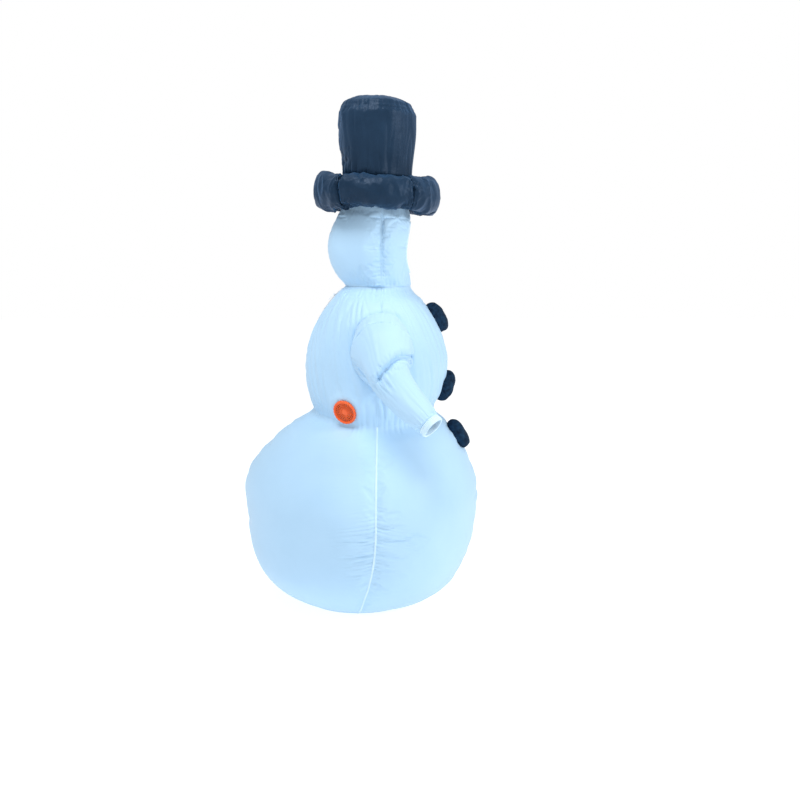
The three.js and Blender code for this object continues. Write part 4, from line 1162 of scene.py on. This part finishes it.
# Radius and height above the cloth, all the way round the section of the rim
FAN_RIM_PROFILE = (
    (0.0348, 0.0016),
    (0.0405, 0.0016),
    (0.0415, 0.0024),
    (0.0415, 0.0080),
    (0.0405, 0.0094),
    (0.0385, 0.0100),
    (0.0362, 0.0098),
    (0.0350, 0.0088),
    (0.0345, 0.0070),
    (0.0345, 0.0030),
    (0.0348, 0.0016),
)


def fan_axes():
    side = np.cross((0, 0, 1), fan_out)
    side /= np.linalg.norm(side)
    return side, np.cross(fan_out, side)


def fan_lathe(profile, around, lobes=0, depth=0.0):
    """A ring round the blower's axis from (radius, height) pairs; the outer ones may be scalloped."""
    side, up = fan_axes()
    turn = np.arange(around) * 2 * np.pi / around
    rows = []
    for radius, height in profile:
        bite = depth * (radius > FAN_RIM - 0.004) * (np.abs(np.cos(lobes * turn / 2)) - 0.5)
        reach = (radius + bite)[:, None] if lobes else radius
        spoke = np.cos(turn)[:, None] * side + np.sin(turn)[:, None] * up
        rows.append(fan_seat + fan_out * height + reach * spoke)
    return np.stack(rows)[::-1], True


def closed_section(centre, half_width, half_height, corner=0.3):
    """The outline of a rounded bar, as (radius, height) pairs that end where they start."""
    turn = np.linspace(0, 2 * np.pi, 13)
    x, y = np.cos(turn), np.sin(turn)
    square = np.maximum(np.abs(x), np.abs(y)) ** (1 - corner)
    return [
        (centre[0] + half_width * a / b, centre[1] + half_height * c / b)
        for a, c, b in zip(x, y, square)
    ]


def fan_spoke(turn, inner, outer, height, width, thick):
    side, up = fan_axes()
    along = math.cos(turn) * side + math.sin(turn) * up
    across = np.cross(fan_out, along)
    section = closed_section((0, 0), width / 2, thick / 2)
    rows = []
    for reach in np.linspace(inner, outer, 5):
        middle = fan_seat + along * reach + fan_out * height
        rows.append([middle + across * a + fan_out * b for a, b in section[:-1]])
    return np.array(rows), True


def fan_grille():
    """An orange ring with a scalloped edge, round a dished grille of fine rings and spokes."""
    grids = [fan_lathe(FAN_RIM_PROFILE, 288, FAN_LOBES, 0.0018)]
    for radius in (FAN_HUB, 0.0105, 0.0165, 0.0225, 0.0285, 0.0335):
        width = FAN_HUB if radius == FAN_HUB else 0.0014
        grids.append(fan_lathe(closed_section((radius, GRILLE_RISE), width, 0.0011), 96))
    for number in range(FAN_SPOKES):
        turn = 2 * np.pi * number / FAN_SPOKES
        grids.append(fan_spoke(turn, 0.006, FAN_DUCT, GRILLE_RISE, 0.0019, 0.0020))
    piece = link(joined_mesh("grille", grids), "fan_grille_moulding")
    finish_piece(piece, "costume", ORANGE, ["fan_grille_ring"])


fan_grille()


# ---------------------------------------------------------------- the zip and the battery pocket
TAPE_ROWS, TAPE_COLUMNS = 320, 9
TOOTH_PITCH, TOOTH_SWING, TOOTH_STEPS = 0.0016, 0.0016, 10
POCKET_ROWS, POCKET_COLUMNS, POCKET_FLOOR = 30, 96, 0.2
POCKET_HALF_WIDTH, POCKET_HALF_DEPTH, POCKET_CORNER = 0.0355, 0.0125, 0.45


def zip_places(low, high, count, side, above):
    """Points along the zip: sideways from the middle, and a height above the cloth."""
    turn = np.linspace(math.asin((low - ZIP_Z) / ZIP_R), math.asin((high - ZIP_Z) / ZIP_R), count)
    reach = ZIP_R + above
    y, z = ZIP_Y + reach * np.cos(turn), ZIP_Z + reach * np.sin(turn)
    return np.stack([np.broadcast_to(side, turn.shape), y, z], -1)


def tape_grid(sign):
    """One tape, from beside the coil to an edge that turns down into the seam."""
    places = np.linspace(0.0014, 0.0130, TAPE_COLUMNS) * sign
    stitching = 0.0004 * np.exp(-(((np.abs(places) - 0.0105) / 0.0008) ** 2))
    wave = 0.00025 * noise_field(TAPE_ROWS, TAPE_COLUMNS, 6, 3, 91, False)
    span = (ZIP_FOOT - 0.012, ZIP_HEAD + 0.008, TAPE_ROWS)
    columns = []
    for i, side in enumerate(places):
        columns.append(zip_places(*span, side, 0.0009 - stitching[i] + wave[:, i]))
    columns.append(zip_places(*span, places[-1] * 1.02, -0.0022))
    return np.stack(columns if sign > 0 else columns[::-1], 1)[:, ::-1]


def coil_grid(sign):
    """One row of teeth: a nylon thread that winds between the tape's edge and the middle."""
    turns = int((ZIP_HEAD - ZIP_FOOT) / TOOTH_PITCH)
    path = zip_places(ZIP_FOOT, ZIP_HEAD, turns * TOOTH_STEPS, 0.0, 0.0022)
    swing = np.arange(turns * TOOTH_STEPS) * 2 * np.pi / TOOTH_STEPS + (sign > 0) * np.pi
    path[:, 0] = sign * (0.0014 - TOOTH_SWING * np.cos(swing))
    out = path - np.array([0, ZIP_Y, ZIP_Z])
    out[:, 0] = 0
    out /= np.linalg.norm(out, axis=-1, keepdims=True)
    path += out * (0.0007 * np.sin(swing))[:, None]
    return tube_along(path, 0.00036, 5)


def zip_pieces():
    for name, sign in (("right", -1), ("left", 1)):
        piece = link(grid_mesh("tape", tape_grid(sign)), f"zip_tape_{name}_woven")
        finish_piece(piece, "costume", TAPE, [f"zip_tape_{name}"])
        piece = link(grid_mesh("coil", coil_grid(sign), True), f"zip_coil_{name}_teeth")
        finish_piece(piece, "costume", NYLON, [f"zip_coil_{name}"])


def tube_along(path, radius, sides):
    ahead = np.gradient(path, axis=0)
    ahead /= np.linalg.norm(ahead, axis=-1, keepdims=True)
    slanted = (0.3, 0.2, 1.0)
    first = np.cross(ahead, slanted)
    first /= np.linalg.norm(first, axis=-1, keepdims=True)
    second = np.cross(ahead, first)
    turn = np.arange(sides) * 2 * np.pi / sides
    c, s = np.cos(turn)[None, :, None], np.sin(turn)[None, :, None]
    return path[:, None] + radius * (first[:, None] * c + second[:, None] * s)


def battery_pocket():
    """A sewn pocket with an open top that bags round the battery pack inside the back."""
    low, high = (np.array(corner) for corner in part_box("battery_pocket"))
    box = frame["nodes"]["battery_box"]
    corners = np.array([tuple(v.co) for v in box.data.vertices])
    out = skin_normal(PACK_Z, PACK_ANGLE) * (1, 1, 0)
    out /= np.linalg.norm(out)
    side = np.cross(out, (0, 0, 1))
    middle = (corners.min(0) + corners.max(0)) / 2
    turn = np.arange(POCKET_COLUMNS) * 2 * np.pi / POCKET_COLUMNS
    x = np.sign(np.cos(turn)) * np.abs(np.cos(turn)) ** POCKET_CORNER
    y = np.sign(np.sin(turn)) * np.abs(np.sin(turn)) ** POCKET_CORNER
    rows = []
    for v in np.linspace(0, 1, POCKET_ROWS):
        z = low[2] + (high[2] - low[2]) * max(0.0, (v - POCKET_FLOOR) / (1 - POCKET_FLOOR))
        shut = smooth(v / POCKET_FLOOR)
        sag = 0.0008 * np.sin(9 * turn + 5 * v)
        wide = side * ((POCKET_HALF_WIDTH * shut + sag) * x)[:, None]
        deep = out * ((POCKET_HALF_DEPTH * shut + sag) * y)[:, None]
        rows.append(middle * (1, 1, 0) + np.array([0, 0, z]) - out * 0.0022 + (wide + deep))
    piece = link(grid_mesh("pocket", np.stack(rows)[:, ::-1], True), "battery_pocket_cloth")
    finish_piece(piece, "costume", WHITE, ["battery_pocket"])


zip_pieces()
battery_pocket()


# ---------------------------------------------------------------- materials of the hard CAD parts
def dress_cad_nodes():
    finishes = {"orange_plastic": ORANGE, "black_plastic": DARK, "motor_steel": STEEL, "switch_plastic": GREY,
                "zip_plastic": NYLON, "zip_tape": TAPE, "cell_sleeve": SLEEVE, "filling": WADDING,
                "white_elastic": ELASTIC, "white_cloth": WHITE, "black_cloth": BLACK, "button_cloth": BUTTON}
    for entry in frame["record"]["subparts"]:
        if entry["node"] not in frame["nodes"]:
            continue
        mesh = frame["nodes"][entry["node"]].data
        mesh.materials.clear()
        mesh.materials.append(finishes[entry["material_slot"]])


dress_cad_nodes()


# ---------------------------------------------------------------- camera, lights and floor
CAMERA_PLACE, CAMERA_LENS, CAMERA_DOWN = (-3.4, -0.144, 1.232), 43.7, 8.8
FLOOR = 14


def camera():
    """Level with the chest, on the costume's right-hand side, looking a little down."""
    made = bpy.data.objects.new("camera", bpy.data.cameras.new("camera"))
    made.data.sensor_width = 36
    made.data.lens = CAMERA_LENS
    made.data.clip_end = 50
    made.location = CAMERA_PLACE
    made.rotation_euler = (math.radians(90 - CAMERA_DOWN), 0, math.radians(-90))
    scene.collection.objects.link(made)
    scene.camera = made


def area_light(name, place, target, size, energy, colour=(1, 1, 1)):
    light = bpy.data.lights.new(name, "AREA")
    light.shape, light.size, light.energy, light.color = "DISK", size, energy, colour
    made = bpy.data.objects.new(name, light)
    made.location = place
    made.rotation_euler = (Vector(target) - Vector(place)).to_track_quat("-Z", "Y").to_euler()
    scene.collection.objects.link(made)


def studio():
    world = bpy.data.worlds.new("studio")
    scene.world = world
    world.use_nodes = True
    tree = world.node_tree
    ground = tree.nodes["Background"]
    ground.inputs["Color"].default_value = (0.95, 0.98, 1.0, 1)
    ground.inputs["Strength"].default_value = 0.56
    seen = node(tree, "ShaderNodeBackground", Strength=1.0)
    seen.inputs["Color"].default_value = (1, 1, 1, 1)
    chosen = tree.nodes.new("ShaderNodeMixShader")
    rays = tree.nodes.new("ShaderNodeLightPath")
    tree.links.new(rays.outputs["Is Camera Ray"], chosen.inputs[0])
    tree.links.new(ground.outputs[0], chosen.inputs[1])
    tree.links.new(seen.outputs[0], chosen.inputs[2])
    tree.links.new(chosen.outputs[0], tree.nodes["World Output"].inputs["Surface"])
    area_light("key", (-1.6, -3.4, 2.6), (0, 0, 0.8), 1.4, 70)
    area_light("top", (-1.2, 0.8, 4.0), (0, 0, 0.8), 1.6, 75)
    area_light("fill", (-3.8, 0.6, 0.9), (0, 0, 1.1), 2.2, 5)
    floor = bpy.data.meshes.new("floor")
    corners = [(-FLOOR, -FLOOR), (FLOOR, -FLOOR), (FLOOR, FLOOR), (-FLOOR, FLOOR)]
    floor.from_pydata([(x, y, -0.0005) for x, y in corners], [], [(0, 1, 2, 3)])
    pale = material("floor", (0.48, 0.50, 0.52), 0.95, Emission_Strength=0.76, Specular_IOR_Level=0.0)
    pale.node_tree.nodes["Principled BSDF"].inputs["Emission Color"].default_value = (1, 1, 1, 1)
    floor.materials.append(pale)
    link(floor, "floor")


camera()
studio()
